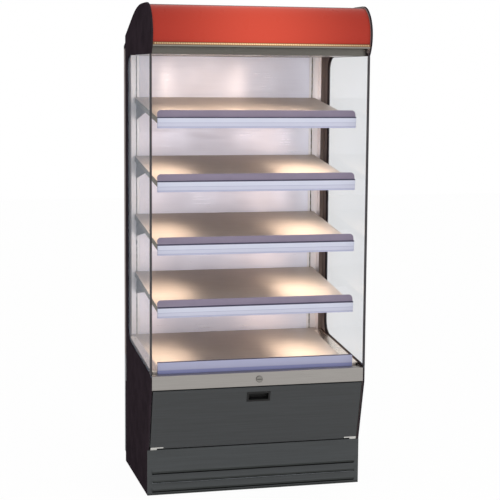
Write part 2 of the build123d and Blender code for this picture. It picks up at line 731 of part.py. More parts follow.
KEEPER_DEPTH = LATCH_REACH + CAM_T + 1.5
KEEPER_Z = LATCH_Z - CAM_LENGTH - 3.0
KEEPER_ROOT = (
    KICK_SETBACK - (KEEPER_Z - STEEL - KICK_TOP) * math.tan(LEAN) + THIN_STEEL / math.cos(LEAN)
)
KEEPER_FOOT = 12.0
with BuildPart() as service_flap:
    with BuildSketch(FLAP):
        Rectangle(2 * FLAP_HALF, FLAP_LENGTH, align=(Align.CENTER, Align.MIN))
    extrude(amount=-FLAP_RIM)
    with BuildSketch(FLAP.offset(-THIN_STEEL)):
        with Locations((0, THIN_STEEL)):
            Rectangle(
                2 * (FLAP_HALF - THIN_STEEL),
                FLAP_LENGTH - 2 * THIN_STEEL,
                align=(Align.CENTER, Align.MIN),
            )
    extrude(amount=-FLAP_RIM, mode=Mode.SUBTRACT)
    with BuildSketch(FLAP):
        with Locations((0, CUP_ALONG)):
            Rectangle(CUP_HOLLOW_X + 2 * (CUP_WALL + FIT), CUP_HOLLOW_Y + 2 * (CUP_WALL + FIT))
    extrude(amount=-FLAP_RIM, mode=Mode.SUBTRACT)
    for side in (-1, 1):
        notch_middle = side * (HINGE_INNER - 1 + FLAP_HALF + 1) / 2
        with BuildSketch(FLAP):
            with Locations((notch_middle, NOTCH_TOP)):
                Rectangle(FLAP_HALF - HINGE_INNER + 2, 2 * NOTCH_TOP, align=(Align.CENTER, Align.MAX))
        extrude(amount=-2 * FLAP_RIM, mode=Mode.SUBTRACT)
        with BuildSketch(FLAP.offset(-THIN_STEEL)):
            with Locations((side * (HINGE_MID - FIT + HINGE_INNER) / 2, NOTCH_TOP - HINGE_NOTCH)):
                Rectangle(HINGE_LEAF - FIT, HINGE_LEAF_RISE, align=(Align.CENTER, Align.MIN))
        extrude(amount=-STEEL)
        rod(side * (HINGE_MID - FIT), side * HINGE_INNER, HINGE_DEPTH, HINGE_HEIGHT, HINGE_BARREL_R)
        rod(
            side * HINGE_OUTER,
            side * (HINGE_INNER - 1),
            HINGE_DEPTH,
            HINGE_HEIGHT,
            HINGE_PIN_R + 0.1,
            mode=Mode.SUBTRACT,
        )
keep(service_flap, "service_flap")

# Keeper behind the flap's upper edge: the latch's cam drops in front of it
with BuildPart() as flap_keeper:
    with BuildSketch(FLAP.offset(-THIN_STEEL)):
        with Locations((0, (KEEPER_Z - FLAP_BOTTOM) / math.cos(LEAN))):
            Rectangle(2 * KEEPER_HALF, KEEPER_FOOT, align=(Align.CENTER, Align.MAX))
    extrude(amount=-STEEL)
    block(-KEEPER_HALF, KEEPER_HALF, KEEPER_ROOT, KEEPER_DEPTH + STEEL, KEEPER_Z - STEEL, KEEPER_Z)
    block(-KEEPER_HALF, KEEPER_HALF, KEEPER_DEPTH, KEEPER_DEPTH + STEEL, KEEPER_Z, FLAP_TOP)
keep(flap_keeper, "flap_keeper")

# Recessed pull: a bezel on the flap's face with its cup behind it
with BuildPart() as flap_handle_cup:
    with BuildSketch(FLAP):
        with Locations((0, CUP_ALONG)):
            Rectangle(CUP_WIDTH, CUP_HEIGHT)
    extrude(amount=STEEL)
    chamfer(flap_handle_cup.faces().sort_by(Axis(FLAP.origin, FLAP.z_dir))[-1].edges(), CUP_CHAMFER)
    with BuildSketch(FLAP):
        with Locations((0, CUP_ALONG)):
            Rectangle(CUP_HOLLOW_X + 2 * CUP_WALL, CUP_HOLLOW_Y + 2 * CUP_WALL)
    extrude(amount=-CUP_DEPTH)
    with BuildSketch(FLAP.offset(STEEL)):
        with Locations((0, CUP_ALONG)):
            Rectangle(CUP_HOLLOW_X, CUP_HOLLOW_Y)
    extrude(amount=-CUP_DEPTH, mode=Mode.SUBTRACT)
keep(flap_handle_cup, "flap_handle_cup")

# Fixed hinge halves on the kick plate, each with its pin
with BuildPart() as hinge_brackets:
    for side in (-1, 1):
        inner = side * HINGE_MID
        outer = side * HINGE_OUTER
        rod(inner, outer, HINGE_DEPTH, HINGE_HEIGHT, HINGE_BARREL_R)
        rod(outer, side * HINGE_INNER, HINGE_DEPTH, HINGE_HEIGHT, HINGE_PIN_R)
        block(inner, outer, HINGE_DEPTH, HINGE_DEPTH + STEEL, KICK_TOP, HINGE_HEIGHT)
        block(inner, outer, HINGE_DEPTH, HINGE_DEPTH + HINGE_FOOT, KICK_TOP, KICK_TOP + STEEL)
keep(hinge_brackets, "hinge_brackets")

# Chassis: welded tube frame under the deck and the uprights
CHASSIS_HALF = INNER_HALF - STEEL
POST_X0 = CHASSIS_HALF - TUBE
REAR_POST_DEPTH = WALL + 3.0
BEAM_SETBACK = 12.0
BEAM_FRONT = DECK_FRONT + BEAM_SETBACK
BEAM_REAR = POST_FRONT - FIT


def deck_underside(depth):
    """Height of the deck pan's lower rim at a depth."""
    rim_drop = DECK_RIM / math.cos(math.radians(DECK_TILT))
    return DECK_FRONT_TOP - rim_drop + (depth - DECK_FRONT) * DECK_RISE


with BuildPart() as chassis_frame:
    for side in (-1, 1):
        x_in, x_out = side * POST_X0, side * CHASSIS_HALF
        block(x_in, x_out, KICK_SETBACK + STEEL, REAR_POST_DEPTH + TUBE, FRAME_BOTTOM, FRAME_TOP)
        block(
            x_in,
            x_out,
            FRONT_POST_DEPTH,
            FRONT_POST_DEPTH + TUBE,
            FRAME_TOP,
            deck_underside(FRONT_POST_DEPTH) - TUBE / 2,
        )
        block(x_in, x_out, REAR_POST_DEPTH, REAR_POST_DEPTH + TUBE, FRAME_TOP, UPRIGHT_FOOT)
        with BuildSketch(SIDE.offset(side * POST_X0)):
            with BuildLine():
                Polyline(
                    (BEAM_FRONT, deck_underside(BEAM_FRONT)),
                    (BEAM_REAR, deck_underside(BEAM_REAR)),
                    (BEAM_REAR, UPRIGHT_FOOT),
                    (REAR_POST_DEPTH + TUBE, UPRIGHT_FOOT),
                    (REAR_POST_DEPTH + TUBE, UPRIGHT_FOOT - TUBE),
                    (BEAM_FRONT, deck_underside(BEAM_FRONT) - TUBE),
                    close=True,
                )
            make_face()
        extrude(amount=side * TUBE)
    for depth in (KICK_SETBACK + STEEL, REAR_POST_DEPTH):
        block(-POST_X0, POST_X0, depth, depth + TUBE, FRAME_BOTTOM, FRAME_TOP)
        block(
            -POST_X0,
            POST_X0,
            depth + TUBE_WALL,
            depth + TUBE - TUBE_WALL,
            FRAME_BOTTOM + TUBE_WALL,
            FRAME_TOP - TUBE_WALL,
            mode=Mode.SUBTRACT,
        )
keep(chassis_frame, "chassis_frame")

# Levelling feet under the chassis corners
FOOT_X = CHASSIS_HALF - TUBE / 2
NUT_T = 6.0
NUT_R = 9.5
with BuildPart() as levelling_feet:
    for side in (-1, 1):
        for depth in (FRONT_POST_DEPTH + TUBE / 2, REAR_POST_DEPTH):
            with Locations((side * FOOT_X, FRONT + depth, 0)):
                Cylinder(FOOT_R, FOOT_T, align=UPWARD)
                Cylinder(STUD_R, FRAME_BOTTOM, align=UPWARD)
            with BuildSketch(Plane.XY.offset(FRAME_BOTTOM - NUT_T)):
                with Locations((side * FOOT_X, FRONT + depth)):
                    RegularPolygon(radius=NUT_R, side_count=6)
            extrude(amount=NUT_T)
keep(levelling_feet, "levelling_feet")

# Floor sheet of the base
with BuildPart() as base_floor:
    block(
        -CHASSIS_HALF,
        CHASSIS_HALF,
        KICK_SETBACK + STEEL,
        REAR_POST_DEPTH,
        FRAME_TOP,
        FLOOR_TOP,
    )
    for side in (-1, 1):
        block(
            side * (POST_X0 - FIT),
            side * INNER_HALF,
            FRONT_POST_DEPTH - FIT,
            FRONT_POST_DEPTH + TUBE + FIT,
            FRAME_TOP - STEEL,
            FLOOR_TOP + STEEL,
            mode=Mode.SUBTRACT,
        )
keep(base_floor, "base_floor")

# Rear cover of the base, a tray with vents and the hole for the mains inlet
INLET_X = INNER_HALF - 147.0
INLET_Z = FRAME_TOP + 55.0
INLET_W = 30.0
INLET_H = 24.0
BASE_VENTS = 5
BASE_VENT_ROWS = 7
COVER_SIDE_FRONT = SIDE_DEPTH - TUBE
with BuildPart() as base_rear_cover:
    block(-INNER_HALF, INNER_HALF, COVER_SIDE_FRONT, REAR_SKIN, FRAME_BOTTOM, PANEL_SPLIT - FIT)
    block(
        -CHASSIS_HALF,
        CHASSIS_HALF,
        COVER_SIDE_FRONT - 1,
        REAR_SKIN - STEEL,
        FRAME_BOTTOM - 1,
        PANEL_SPLIT,
        mode=Mode.SUBTRACT,
    )
    with Locations((-VENT_PITCH, FRONT + REAR_SKIN, (FRAME_TOP + PANEL_SPLIT) / 2)):
        with GridLocations(VENT_PITCH, 1, BASE_VENTS, 1):
            for row in range(BASE_VENT_ROWS):
                with Locations((0, 0, (row - (BASE_VENT_ROWS - 1) / 2) * VENT_ROW)):
                    Box(VENT_WIDTH, 4 * STEEL, VENT_HEIGHT, mode=Mode.SUBTRACT)
    with Locations((INLET_X, FRONT + REAR_SKIN, INLET_Z)):
        Box(INLET_W, 4 * STEEL, INLET_H, mode=Mode.SUBTRACT)
keep(base_rear_cover, "base_rear_cover")

# Mains inlet: a flanged three-pin socket in the rear cover
INLET_DEEP = 22.0
INLET_FLANGE_T = 2.0
INLET_FLANGE_SIDE = 11.0
INLET_FLANGE_RISE = 3.0
INLET_WALL = 2.5
INLET_FLOOR = 4.0
PIN_LENGTH = 14.0
with BuildPart() as mains_inlet:
    with Locations((INLET_X, FRONT + REAR_SKIN + INLET_FLANGE_T / 2, INLET_Z)):
        Box(INLET_W + 2 * INLET_FLANGE_SIDE, INLET_FLANGE_T, INLET_H + 2 * INLET_FLANGE_RISE)
    with Locations((INLET_X, FRONT + REAR_SKIN - INLET_DEEP / 2, INLET_Z)):
        Box(INLET_W - 2 * FIT, INLET_DEEP, INLET_H - 2 * FIT)
    with Locations((INLET_X, FRONT + REAR_SKIN - INLET_DEEP / 2 + INLET_FLOOR, INLET_Z)):
        Box(INLET_W - 2 * INLET_WALL, INLET_DEEP, INLET_H - 2 * INLET_WALL, mode=Mode.SUBTRACT)
    for x, z in ((-7, -2), (0, 4), (7, -2)):
        with Locations((INLET_X + x, FRONT + REAR_SKIN - INLET_DEEP + PIN_LENGTH / 2 + STEEL, INLET_Z + z)):
            Box(2, PIN_LENGTH, 4)
keep(mains_inlet, "mains_inlet")

# Control panel: the bulkhead behind the flap, with a dial and a rocker switch on it
CONTROL_DEPTH = FRONT_POST_DEPTH + TUBE
CONTROL_TOP = FASCIA_BOTTOM - CONTROL_DROP
CONTROL_HALF = POST_X0 + TUBE / 2
CONTROL_FLANGE = 20.0
DIAL_X = INNER_HALF - DIAL_FROM_SIDE
DIAL_Z = CONTROL_TOP - DIAL_DROP
DIAL_HUB_R = 3.0
DIAL_TAPER = 4.0
DIAL_ROUND = 1.5
DIAL_MARK = 2.0
ROCKER_X = DIAL_X - ROCKER_FROM_DIAL
BEZEL = 3.0
with BuildPart() as control_panel:
    block(-CONTROL_HALF, CONTROL_HALF, CONTROL_DEPTH, CONTROL_DEPTH + STEEL, FLOOR_TOP, CONTROL_TOP)
    block(
        -CONTROL_HALF,
        CONTROL_HALF,
        CONTROL_DEPTH,
        CONTROL_DEPTH + CONTROL_FLANGE,
        CONTROL_TOP - STEEL,
        CONTROL_TOP,
    )
    with Locations((DIAL_X, FRONT + CONTROL_DEPTH, DIAL_Z)):
        Cylinder(DIAL_HUB_R + 0.1, 6 * STEEL, rotation=(90, 0, 0), mode=Mode.SUBTRACT)
    with Locations((ROCKER_X, FRONT + CONTROL_DEPTH - BEZEL / 2, DIAL_Z)):
        Box(ROCKER_W + 2 * BEZEL, BEZEL, ROCKER_H + 2 * BEZEL)
    with Locations((ROCKER_X, FRONT + CONTROL_DEPTH, DIAL_Z)):
        Box(ROCKER_W, 4 * BEZEL, ROCKER_H, mode=Mode.SUBTRACT)
keep(control_panel, "control_panel")

with BuildPart() as temperature_dial:
    with BuildSketch(Plane.XZ.offset(-(FRONT + CONTROL_DEPTH - FIT))):
        with Locations((DIAL_X, DIAL_Z)):
            Circle(DIAL_R)
    extrude(amount=DIAL_T, taper=DIAL_TAPER)
    fillet(temperature_dial.faces().sort_by(Axis.Y)[0].edges(), DIAL_ROUND)
    with Locations((DIAL_X, FRONT + CONTROL_DEPTH - DIAL_T, DIAL_Z + DIAL_R / 2)):
        Box(DIAL_MARK, DIAL_MARK, DIAL_R - 2 * DIAL_MARK, mode=Mode.SUBTRACT)
    rod_middle = FRONT + CONTROL_DEPTH + STEEL + DIAL_HUB_R / 2
    with Locations((DIAL_X, rod_middle, DIAL_Z)):
        Cylinder(DIAL_HUB_R, 2 * (STEEL + DIAL_HUB_R), rotation=(90, 0, 0))
keep(temperature_dial, "temperature_dial")

ROCKER_SWING = 3.0
ROCKER_PIVOT_DEPTH = CONTROL_DEPTH + 4.0
ROCKER_LOW = 5.5
ROCKER_MIDDLE = 6.0
ROCKER_HIGH = 9.5
ROCKER_CLEAR = 1.0
ROCKER_PIN_R = 2.0
with BuildPart() as rocker_switch:
    half = ROCKER_H / 2 - ROCKER_SWING
    with BuildSketch(SIDE.offset(ROCKER_X - ROCKER_W / 2 + ROCKER_CLEAR)):
        with BuildLine():
            Polyline(
                (ROCKER_PIVOT_DEPTH, DIAL_Z - half),
                (ROCKER_PIVOT_DEPTH - ROCKER_LOW, DIAL_Z - half),
                (ROCKER_PIVOT_DEPTH - ROCKER_MIDDLE, DIAL_Z),
                (ROCKER_PIVOT_DEPTH - ROCKER_HIGH, DIAL_Z + half),
                (ROCKER_PIVOT_DEPTH, DIAL_Z + half),
                close=True,
            )
        make_face()
    extrude(amount=ROCKER_W - 2 * ROCKER_CLEAR)
    rod(
        ROCKER_X - ROCKER_W / 2 + FIT,
        ROCKER_X + ROCKER_W / 2 - FIT,
        ROCKER_PIVOT_DEPTH,
        DIAL_Z,
        ROCKER_PIN_R,
    )
keep(rocker_switch, "rocker_switch")

# Electrical box on the base floor
BOX_X0 = -INNER_HALF + 67.0
BOX_X1 = BOX_X0 + 190.0
BOX_D0 = CONTROL_DEPTH + 25.0
BOX_D1 = BOX_D0 + 140.0
BOX_TOP = FLOOR_TOP + 190.0
LID_OVERHANG = 3.0
with BuildPart() as electrical_box:
    block(BOX_X0, BOX_X1, BOX_D0, BOX_D1, FLOOR_TOP, BOX_TOP)
    block(
        BOX_X0 + STEEL,
        BOX_X1 - STEEL,
        BOX_D0 + STEEL,
        BOX_D1 - STEEL,
        FLOOR_TOP + STEEL,
        BOX_TOP,
        mode=Mode.SUBTRACT,
    )
    block(
        BOX_X0 - LID_OVERHANG,
        BOX_X1 + LID_OVERHANG,
        BOX_D0 - LID_OVERHANG,
        BOX_D1 + LID_OVERHANG,
        BOX_TOP,
        BOX_TOP + STEEL,
    )
keep(electrical_box, "electrical_box")

# Blower housing: scroll with an inlet on its left and its outlet upwards
FAN_DEPTH = REAR_POST_DEPTH - SCROLL_R - FAN_BEHIND
FAN_HEIGHT = FLOOR_TOP + SCROLL_R + FAN_ABOVE_FLOOR
OUTLET_TOP = FAN_HEIGHT + SCROLL_R + 60.0
OUTLET_WIDTH = SCROLL_R - 10.0
OUTLET_REAR = FAN_DEPTH + SCROLL_R
MOUTH_R = FAN_R - 30.0
CRADLE_HALF = 0.8 * SCROLL_R
CRADLE_TOP = FAN_HEIGHT - 0.7 * SCROLL_R
with BuildPart() as blower_housing:
    with BuildSketch(SIDE.offset(-SCROLL_WIDTH / 2)):
        with Locations((FAN_DEPTH, FAN_HEIGHT)):
            Circle(SCROLL_R)
        with Locations((OUTLET_REAR, FAN_HEIGHT)):
            Rectangle(OUTLET_WIDTH, OUTLET_TOP - FAN_HEIGHT, align=(Align.MAX, Align.MIN))
    extrude(amount=SCROLL_WIDTH)
    with BuildSketch(SIDE.offset(-SCROLL_WIDTH / 2 + STEEL)):
        with Locations((FAN_DEPTH, FAN_HEIGHT)):
            Circle(SCROLL_R - STEEL)
        with Locations((OUTLET_REAR - STEEL, FAN_HEIGHT)):
            Rectangle(OUTLET_WIDTH - 2 * STEEL, OUTLET_TOP - FAN_HEIGHT, align=(Align.MAX, Align.MIN))
    extrude(amount=SCROLL_WIDTH - 2 * STEEL, mode=Mode.SUBTRACT)
    rod(-SCROLL_WIDTH, SCROLL_WIDTH, FAN_DEPTH, FAN_HEIGHT, MOUTH_R, mode=Mode.SUBTRACT)
    for side in (-1, 1):
        block(
            side * SCROLL_WIDTH / 2,
            side * (SCROLL_WIDTH / 2 + STEEL),
            FAN_DEPTH - CRADLE_HALF,
            FAN_DEPTH + CRADLE_HALF,
            FLOOR_TOP,
            CRADLE_TOP,
        )
keep(blower_housing, "blower_housing")

# Blower motor on the housing's right side
MOTOR_FACE = SCROLL_WIDTH / 2 + STEEL
MOTOR_FLANGE_R = MOUTH_R + 12.0
MOTOR_ROUND = 6.0
SHAFT_HOLE = 10.0
with BuildPart() as fan_motor:
    rod(SCROLL_WIDTH / 2, MOTOR_FACE + STEEL, FAN_DEPTH, FAN_HEIGHT, MOTOR_FLANGE_R)
    rod(MOTOR_FACE, MOTOR_FACE + MOTOR_LENGTH, FAN_DEPTH, FAN_HEIGHT, MOTOR_R)
    fillet(fan_motor.faces().sort_by(Axis.X)[-1].edges(), MOTOR_ROUND)
    rod(
        0,
        MOTOR_FACE + MOTOR_LENGTH - SHAFT_HOLE,
        FAN_DEPTH,
        FAN_HEIGHT,
        SHAFT_R + 0.1,
        mode=Mode.SUBTRACT,
    )
    block(
        SCROLL_WIDTH / 2,
        MOTOR_FACE + FIT,
        FAN_DEPTH - SCROLL_R,
        FAN_DEPTH + SCROLL_R,
        FLOOR_TOP,
        CRADLE_TOP + FIT,
        mode=Mode.SUBTRACT,
    )
keep(fan_motor, "fan_motor")

# Blower wheel: back plate, front ring, forward blades and the shaft
BLADE_ROOT = FAN_R - 22.0
BLADE_T = 1.5
BLADE_ANGLE = 25.0
PLATE_T = 2.0
HUB_LENGTH = 24.0
HUB_R = 14.0
with BuildPart() as blower_wheel:
    rod(FAN_WIDTH / 2 - PLATE_T, FAN_WIDTH / 2, FAN_DEPTH, FAN_HEIGHT, FAN_R)
    rod(-FAN_WIDTH / 2, -FAN_WIDTH / 2 + PLATE_T, FAN_DEPTH, FAN_HEIGHT, FAN_R)
    rod(
        -FAN_WIDTH / 2 - PLATE_T,
        -FAN_WIDTH / 2 + 2 * PLATE_T,
        FAN_DEPTH,
        FAN_HEIGHT,
        BLADE_ROOT,
        mode=Mode.SUBTRACT,
    )
    with BuildSketch(SIDE.offset(-(FAN_WIDTH - PLATE_T) / 2)):
        with Locations((FAN_DEPTH, FAN_HEIGHT)):
            with PolarLocations((FAN_R + BLADE_ROOT) / 2, FAN_BLADES):
                Rectangle(FAN_R - BLADE_ROOT - 1, BLADE_T, rotation=BLADE_ANGLE)
    extrude(amount=FAN_WIDTH - PLATE_T)
    rod(FAN_WIDTH / 2 - HUB_LENGTH, FAN_WIDTH / 2, FAN_DEPTH, FAN_HEIGHT, HUB_R)
    rod(
        FAN_WIDTH / 2 - HUB_LENGTH,
        MOTOR_FACE + MOTOR_LENGTH - SHAFT_HOLE - PLATE_T,
        FAN_DEPTH,
        FAN_HEIGHT,
        SHAFT_R,
    )
keep(blower_wheel, "blower_wheel")

# Tubular heater in the foot of the duct: two straight runs and a bend, between its end plates
HEATER_R = 4.0
HEATER_DEPTH = WALL + UPRIGHT_DEPTH / 2
HEATER_Z = UPRIGHT_FOOT + 14.0
HEATER_BEND = 10.0
HEATER_RETURN = HEATER_Z + 2 * HEATER_BEND
HEATER_X = UPRIGHT_INNER - 12.0
HEATER_BEND_X = HEATER_X - 30.0
END_PLATE_HALF = 5.0
END_PLATE_T = 4.0
END_PLATE_SPARE = 9.0
with BuildPart() as heater_elements:
    rod(-HEATER_X, HEATER_BEND_X, HEATER_DEPTH, HEATER_Z, HEATER_R)
    rod(-HEATER_X, HEATER_BEND_X, HEATER_DEPTH, HEATER_RETURN, HEATER_R)
    with BuildSketch(SIDE.offset(HEATER_BEND_X)):
        with Locations((HEATER_DEPTH, HEATER_Z)):
            Circle(HEATER_R)
    bend_middle = (HEATER_BEND_X, FRONT + HEATER_DEPTH, HEATER_Z + HEATER_BEND)
    revolve(axis=Axis(bend_middle, (0, -1, 0)), revolution_arc=180)
    for side in (-1, 1):
        block(
            side * (HEATER_X - END_PLATE_T),
            side * UPRIGHT_INNER,
            HEATER_DEPTH - END_PLATE_HALF,
            HEATER_DEPTH + END_PLATE_HALF,
            HEATER_Z - END_PLATE_SPARE,
            HEATER_RETURN + END_PLATE_SPARE,
        )
    block(
        HEATER_BEND_X,
        HEATER_X,
        HEATER_DEPTH - END_PLATE_HALF,
        HEATER_DEPTH + END_PLATE_HALF,
        HEATER_Z - HEATER_R / 2,
        HEATER_RETURN + HEATER_R / 2,
    )
keep(heater_elements, "heater_elements")

# Screw heads of the rear panels
SCREW_R = 5.0
SCREW_T = 2.0
SCREW_INSET = 9.0
SCREW_EDGE = 30.0
with BuildPart() as panel_screws:
    for low, high, count in ((FRAME_BOTTOM, PANEL_SPLIT, 3), (PANEL_SPLIT, REAR_TOP, 5)):
        middle = (0, FRONT + REAR_SKIN + SCREW_T / 2, (low + high) / 2)
        step = (high - low - 2 * SCREW_EDGE) / (count - 1)
        with Locations(Plane(origin=middle, x_dir=(1, 0, 0), z_dir=(0, 1, 0))):
            with GridLocations(2 * (INNER_HALF - SCREW_INSET), step, 2, count):
                Cylinder(SCREW_R, SCREW_T)
keep(panel_screws, "panel_screws")


def shelf_plane(rear_top):
    """A shelf's own plane: origin where its top face would meet the uprights, second axis up to the rear."""
    tilt = math.radians(SHELF_TILT)
    return Plane(
        origin=(0, FRONT + WALL, rear_top),
        x_dir=(1, 0, 0),
        z_dir=(0, -math.sin(tilt), math.cos(tilt)),
    )


# Shelves: each is a pan on two brackets, with its lip, its label rail and two lamps
TILT = math.radians(SHELF_TILT)
SHELF_LENGTH = (WALL - SHELF_FRONT) / math.cos(TILT)
LIP_FRONT = -SHELF_LENGTH - FIT - STEEL
RAIL_BACK = LIP_FRONT - FIT
BRACKET_ARM = SHELF_LENGTH - BRACKET_SHORT
BRACKET_TIP = BRACKET_TIP_SHARE * SHELF_LENGTH
LAMP_X = SHELF_HALF - LAMP_FROM_END
for level in range(1, SHELF_COUNT + 1):
    rear_top = TOP_SHELF_REAR - (level - 1) * SHELF_STEP
    shelf = shelf_plane(rear_top)
    # The same plane turned so that a sketch on it is the shelf's side view.
    side_view = Plane(origin=shelf.origin, x_dir=shelf.y_dir, z_dir=(1, 0, 0))

    with BuildPart() as shelf_pan:
        with BuildSketch(shelf):
            with Locations((0, -SHELF_REAR_GAP)):
                Rectangle(2 * SHELF_HALF, SHELF_LENGTH - SHELF_REAR_GAP, align=(Align.CENTER, Align.MAX))
        extrude(amount=-SHELF_RIM)
        with BuildSketch(shelf.offset(-THIN_STEEL)):
            with Locations((0, -SHELF_REAR_GAP - THIN_STEEL)):
                Rectangle(
                    2 * (SHELF_HALF - THIN_STEEL),
                    SHELF_LENGTH - SHELF_REAR_GAP - 2 * THIN_STEEL,
                    align=(Align.CENTER, Align.MAX),
                )
        extrude(amount=-SHELF_RIM, mode=Mode.SUBTRACT)
        with BuildSketch(shelf.offset(-THIN_STEEL)):
            with Locations((-SLOT_X, -SHELF_REAR_GAP), (SLOT_X, -SHELF_REAR_GAP)):
                Rectangle(BRACKET_T + THIN_STEEL, 4 * THIN_STEEL)
        extrude(amount=-SHELF_RIM, mode=Mode.SUBTRACT)
    keep(shelf_pan, f"shelf_{level}_pan")

    with BuildPart() as shelf_lip:
        with BuildSketch(side_view.offset(-RAIL_HALF)):
            with Locations((LIP_FRONT, RAIL_ABOVE)):
                Rectangle(STEEL, LIP_FOOT, align=(Align.MIN, Align.MAX))
        extrude(amount=2 * RAIL_HALF)
        lean = math.radians(LIP_LEAN)
        blade = Plane(
            origin=side_view.from_local_coords((LIP_FRONT, RAIL_ABOVE - STEEL, 0)),
            x_dir=(1, 0, 0),
            z_dir=(0, -math.cos(lean - TILT), math.sin(lean - TILT)),
        )
        with BuildSketch(blade):
            Rectangle(
                2 * RAIL_HALF,
                (LIP_RISE + STEEL) / math.cos(lean),
                align=(Align.CENTER, Align.MIN),
            )
        extrude(amount=-STEEL)
        corners = (
            shelf_lip.edges()
            .filter_by(lambda edge: abs(edge.length - STEEL) < 0.01 and abs(edge.center().X) > RAIL_HALF - 1)
            .sort_by(Axis.Z)[-2:]
        )
        fillet(corners, LIP_RADIUS)
    keep(shelf_lip, f"shelf_{level}_lip")

    with BuildPart() as shelf_rail:
        bowed_rail(
            side_view.offset(-RAIL_HALF),
            2 * RAIL_HALF,
            RAIL_BACK - RAIL_DEPTH,
            RAIL_BACK,
            -RAIL_BELOW,
            RAIL_ABOVE,
        )
    keep(shelf_rail, f"shelf_{level}_rail")

    hook_z = rear_top - HOOK_DROP
    under = -THIN_STEEL - FIT
    # The hook's round neck sits in the upright's slot, and the shelf tilts about its middle.
    with BuildPart() as shelf_brackets:
        arm_front = side_view.from_local_coords((-BRACKET_ARM, under, 0))
        arm_low = side_view.from_local_coords((-BRACKET_ARM, under - BRACKET_NOSE, 0))
        tip_low = side_view.from_local_coords((-BRACKET_TIP, under - BRACKET_NOSE, 0))
        rear_high = side_view.from_local_coords((-SHELF_REAR_GAP, under, 0))
        outline = [(point.Y - FRONT, point.Z) for point in (rear_high, arm_front, arm_low, tip_low)]
        for side in (-1, 1):
            with BuildSketch(SIDE.offset(side * SLOT_X - BRACKET_T / 2)):
                with BuildLine():
                    Polyline(
                        *outline,
                        (WALL - 4 * STEEL, rear_top - BRACKET_DROP),
                        (WALL - FIT, rear_top - BRACKET_DROP),
                        (WALL - FIT, hook_z),
                        (WALL - 2 * STEEL, hook_z + HOOK_HEIGHT / 2),
                        close=True,
                    )
                make_face()
                with Locations((WALL, hook_z)):
                    Circle(HOOK_HEIGHT / 2)
            extrude(amount=BRACKET_T)
    keep(shelf_brackets, f"shelf_{level}_brackets")

    lamp_place = -(WALL - LAMP_DEPTH) / math.cos(TILT)
    with BuildPart() as shelf_lamps:
        for x in (-LAMP_X, LAMP_X):
            with BuildSketch(shelf.offset(-THIN_STEEL)):
                with Locations((x, lamp_place)):
                    Circle(LAMP_R)
            extrude(amount=-LAMP_T)
            with BuildSketch(shelf.offset(-THIN_STEEL - LENS_RECESS)):
                with Locations((x, lamp_place)):
                    Circle(LENS_R)
            extrude(amount=-LAMP_T, mode=Mode.SUBTRACT)
            with BuildSketch(shelf.offset(-THIN_STEEL - LAMP_T + LENS_RECESS)):
                with Locations((x, lamp_place)):
                    Circle(LENS_R)
            extrude(amount=-LENS_T)
    keep(shelf_lamps, f"shelf_{level}_lamps")
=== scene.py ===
"""Looks of a heated self-serve display case: finishes, softened edges, lamps and studio.

Metres, +X to the right as a customer sees it, +Y to the rear, +Z up, origin on the floor under the case.
"""

import json
import logging
import math
from dataclasses import dataclass, field
from enum import Enum
from typing import Any, Callable, ClassVar, Optional

import bmesh
import bpy
from mathutils import Matrix, Vector

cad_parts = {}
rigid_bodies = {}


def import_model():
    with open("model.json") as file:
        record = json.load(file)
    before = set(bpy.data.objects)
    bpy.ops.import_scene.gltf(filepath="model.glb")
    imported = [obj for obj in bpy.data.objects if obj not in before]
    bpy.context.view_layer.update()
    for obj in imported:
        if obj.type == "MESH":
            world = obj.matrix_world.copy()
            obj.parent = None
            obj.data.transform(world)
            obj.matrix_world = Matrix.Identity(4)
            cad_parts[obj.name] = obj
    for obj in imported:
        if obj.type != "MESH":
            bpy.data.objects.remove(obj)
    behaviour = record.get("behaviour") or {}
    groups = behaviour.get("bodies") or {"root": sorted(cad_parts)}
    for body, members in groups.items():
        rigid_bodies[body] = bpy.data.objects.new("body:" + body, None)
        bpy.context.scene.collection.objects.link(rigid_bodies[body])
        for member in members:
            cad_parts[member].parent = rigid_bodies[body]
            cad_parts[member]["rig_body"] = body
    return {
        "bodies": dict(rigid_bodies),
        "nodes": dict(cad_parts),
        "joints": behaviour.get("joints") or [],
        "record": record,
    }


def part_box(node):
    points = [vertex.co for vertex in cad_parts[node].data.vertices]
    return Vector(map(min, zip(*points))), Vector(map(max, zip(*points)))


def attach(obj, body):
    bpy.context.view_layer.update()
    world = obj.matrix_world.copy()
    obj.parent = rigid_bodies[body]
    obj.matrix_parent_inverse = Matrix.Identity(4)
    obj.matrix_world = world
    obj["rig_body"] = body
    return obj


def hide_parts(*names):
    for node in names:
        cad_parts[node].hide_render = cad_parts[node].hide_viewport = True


LOG = logging.getLogger("display_case")
MM = 0.001
SHELVES = (1, 2, 3, 4)
SHELF_TILT = math.radians(7.5)
DECK_TILT = math.radians(5.3)
FASCIA_FRONT = -330.0 * MM
SIDES = ((-1, "left"), (1, "right"))
SHARP_ANGLE = math.radians(35)
# How squarely a face has to look one way to count as facing it
FACING = 0.9
DOWN = Vector((0, 0, -1))
REARWARD = Vector((0, 1, 0))
LAMP_WARMTH = "#ffe8d0"
LENS_RADIUS = 25.5 * MM
LENS_CROWN = 2.0 * MM
DOME_STEPS = 16
DOME_RINGS = 3
# A noise that isn't drawn out
EVEN = (1.0, 1.0, 1.0)
# Where most values of a noise lie
NOISE_RANGE = (0.3, 0.7)

Tree = bpy.types.NodeTree
Socket = bpy.types.NodeSocket
Item = bpy.types.Object
Stretch = tuple[float, float, float]


class Grain(Enum):
    """Which way the brush lines of a metal run, as a stretch of the noise along X, Y and Z."""

    ACROSS = (0.012, 1.0, 1.0)
    DEPTH = (1.0, 0.012, 1.0)
    UPRIGHT = (1.0, 1.0, 0.012)


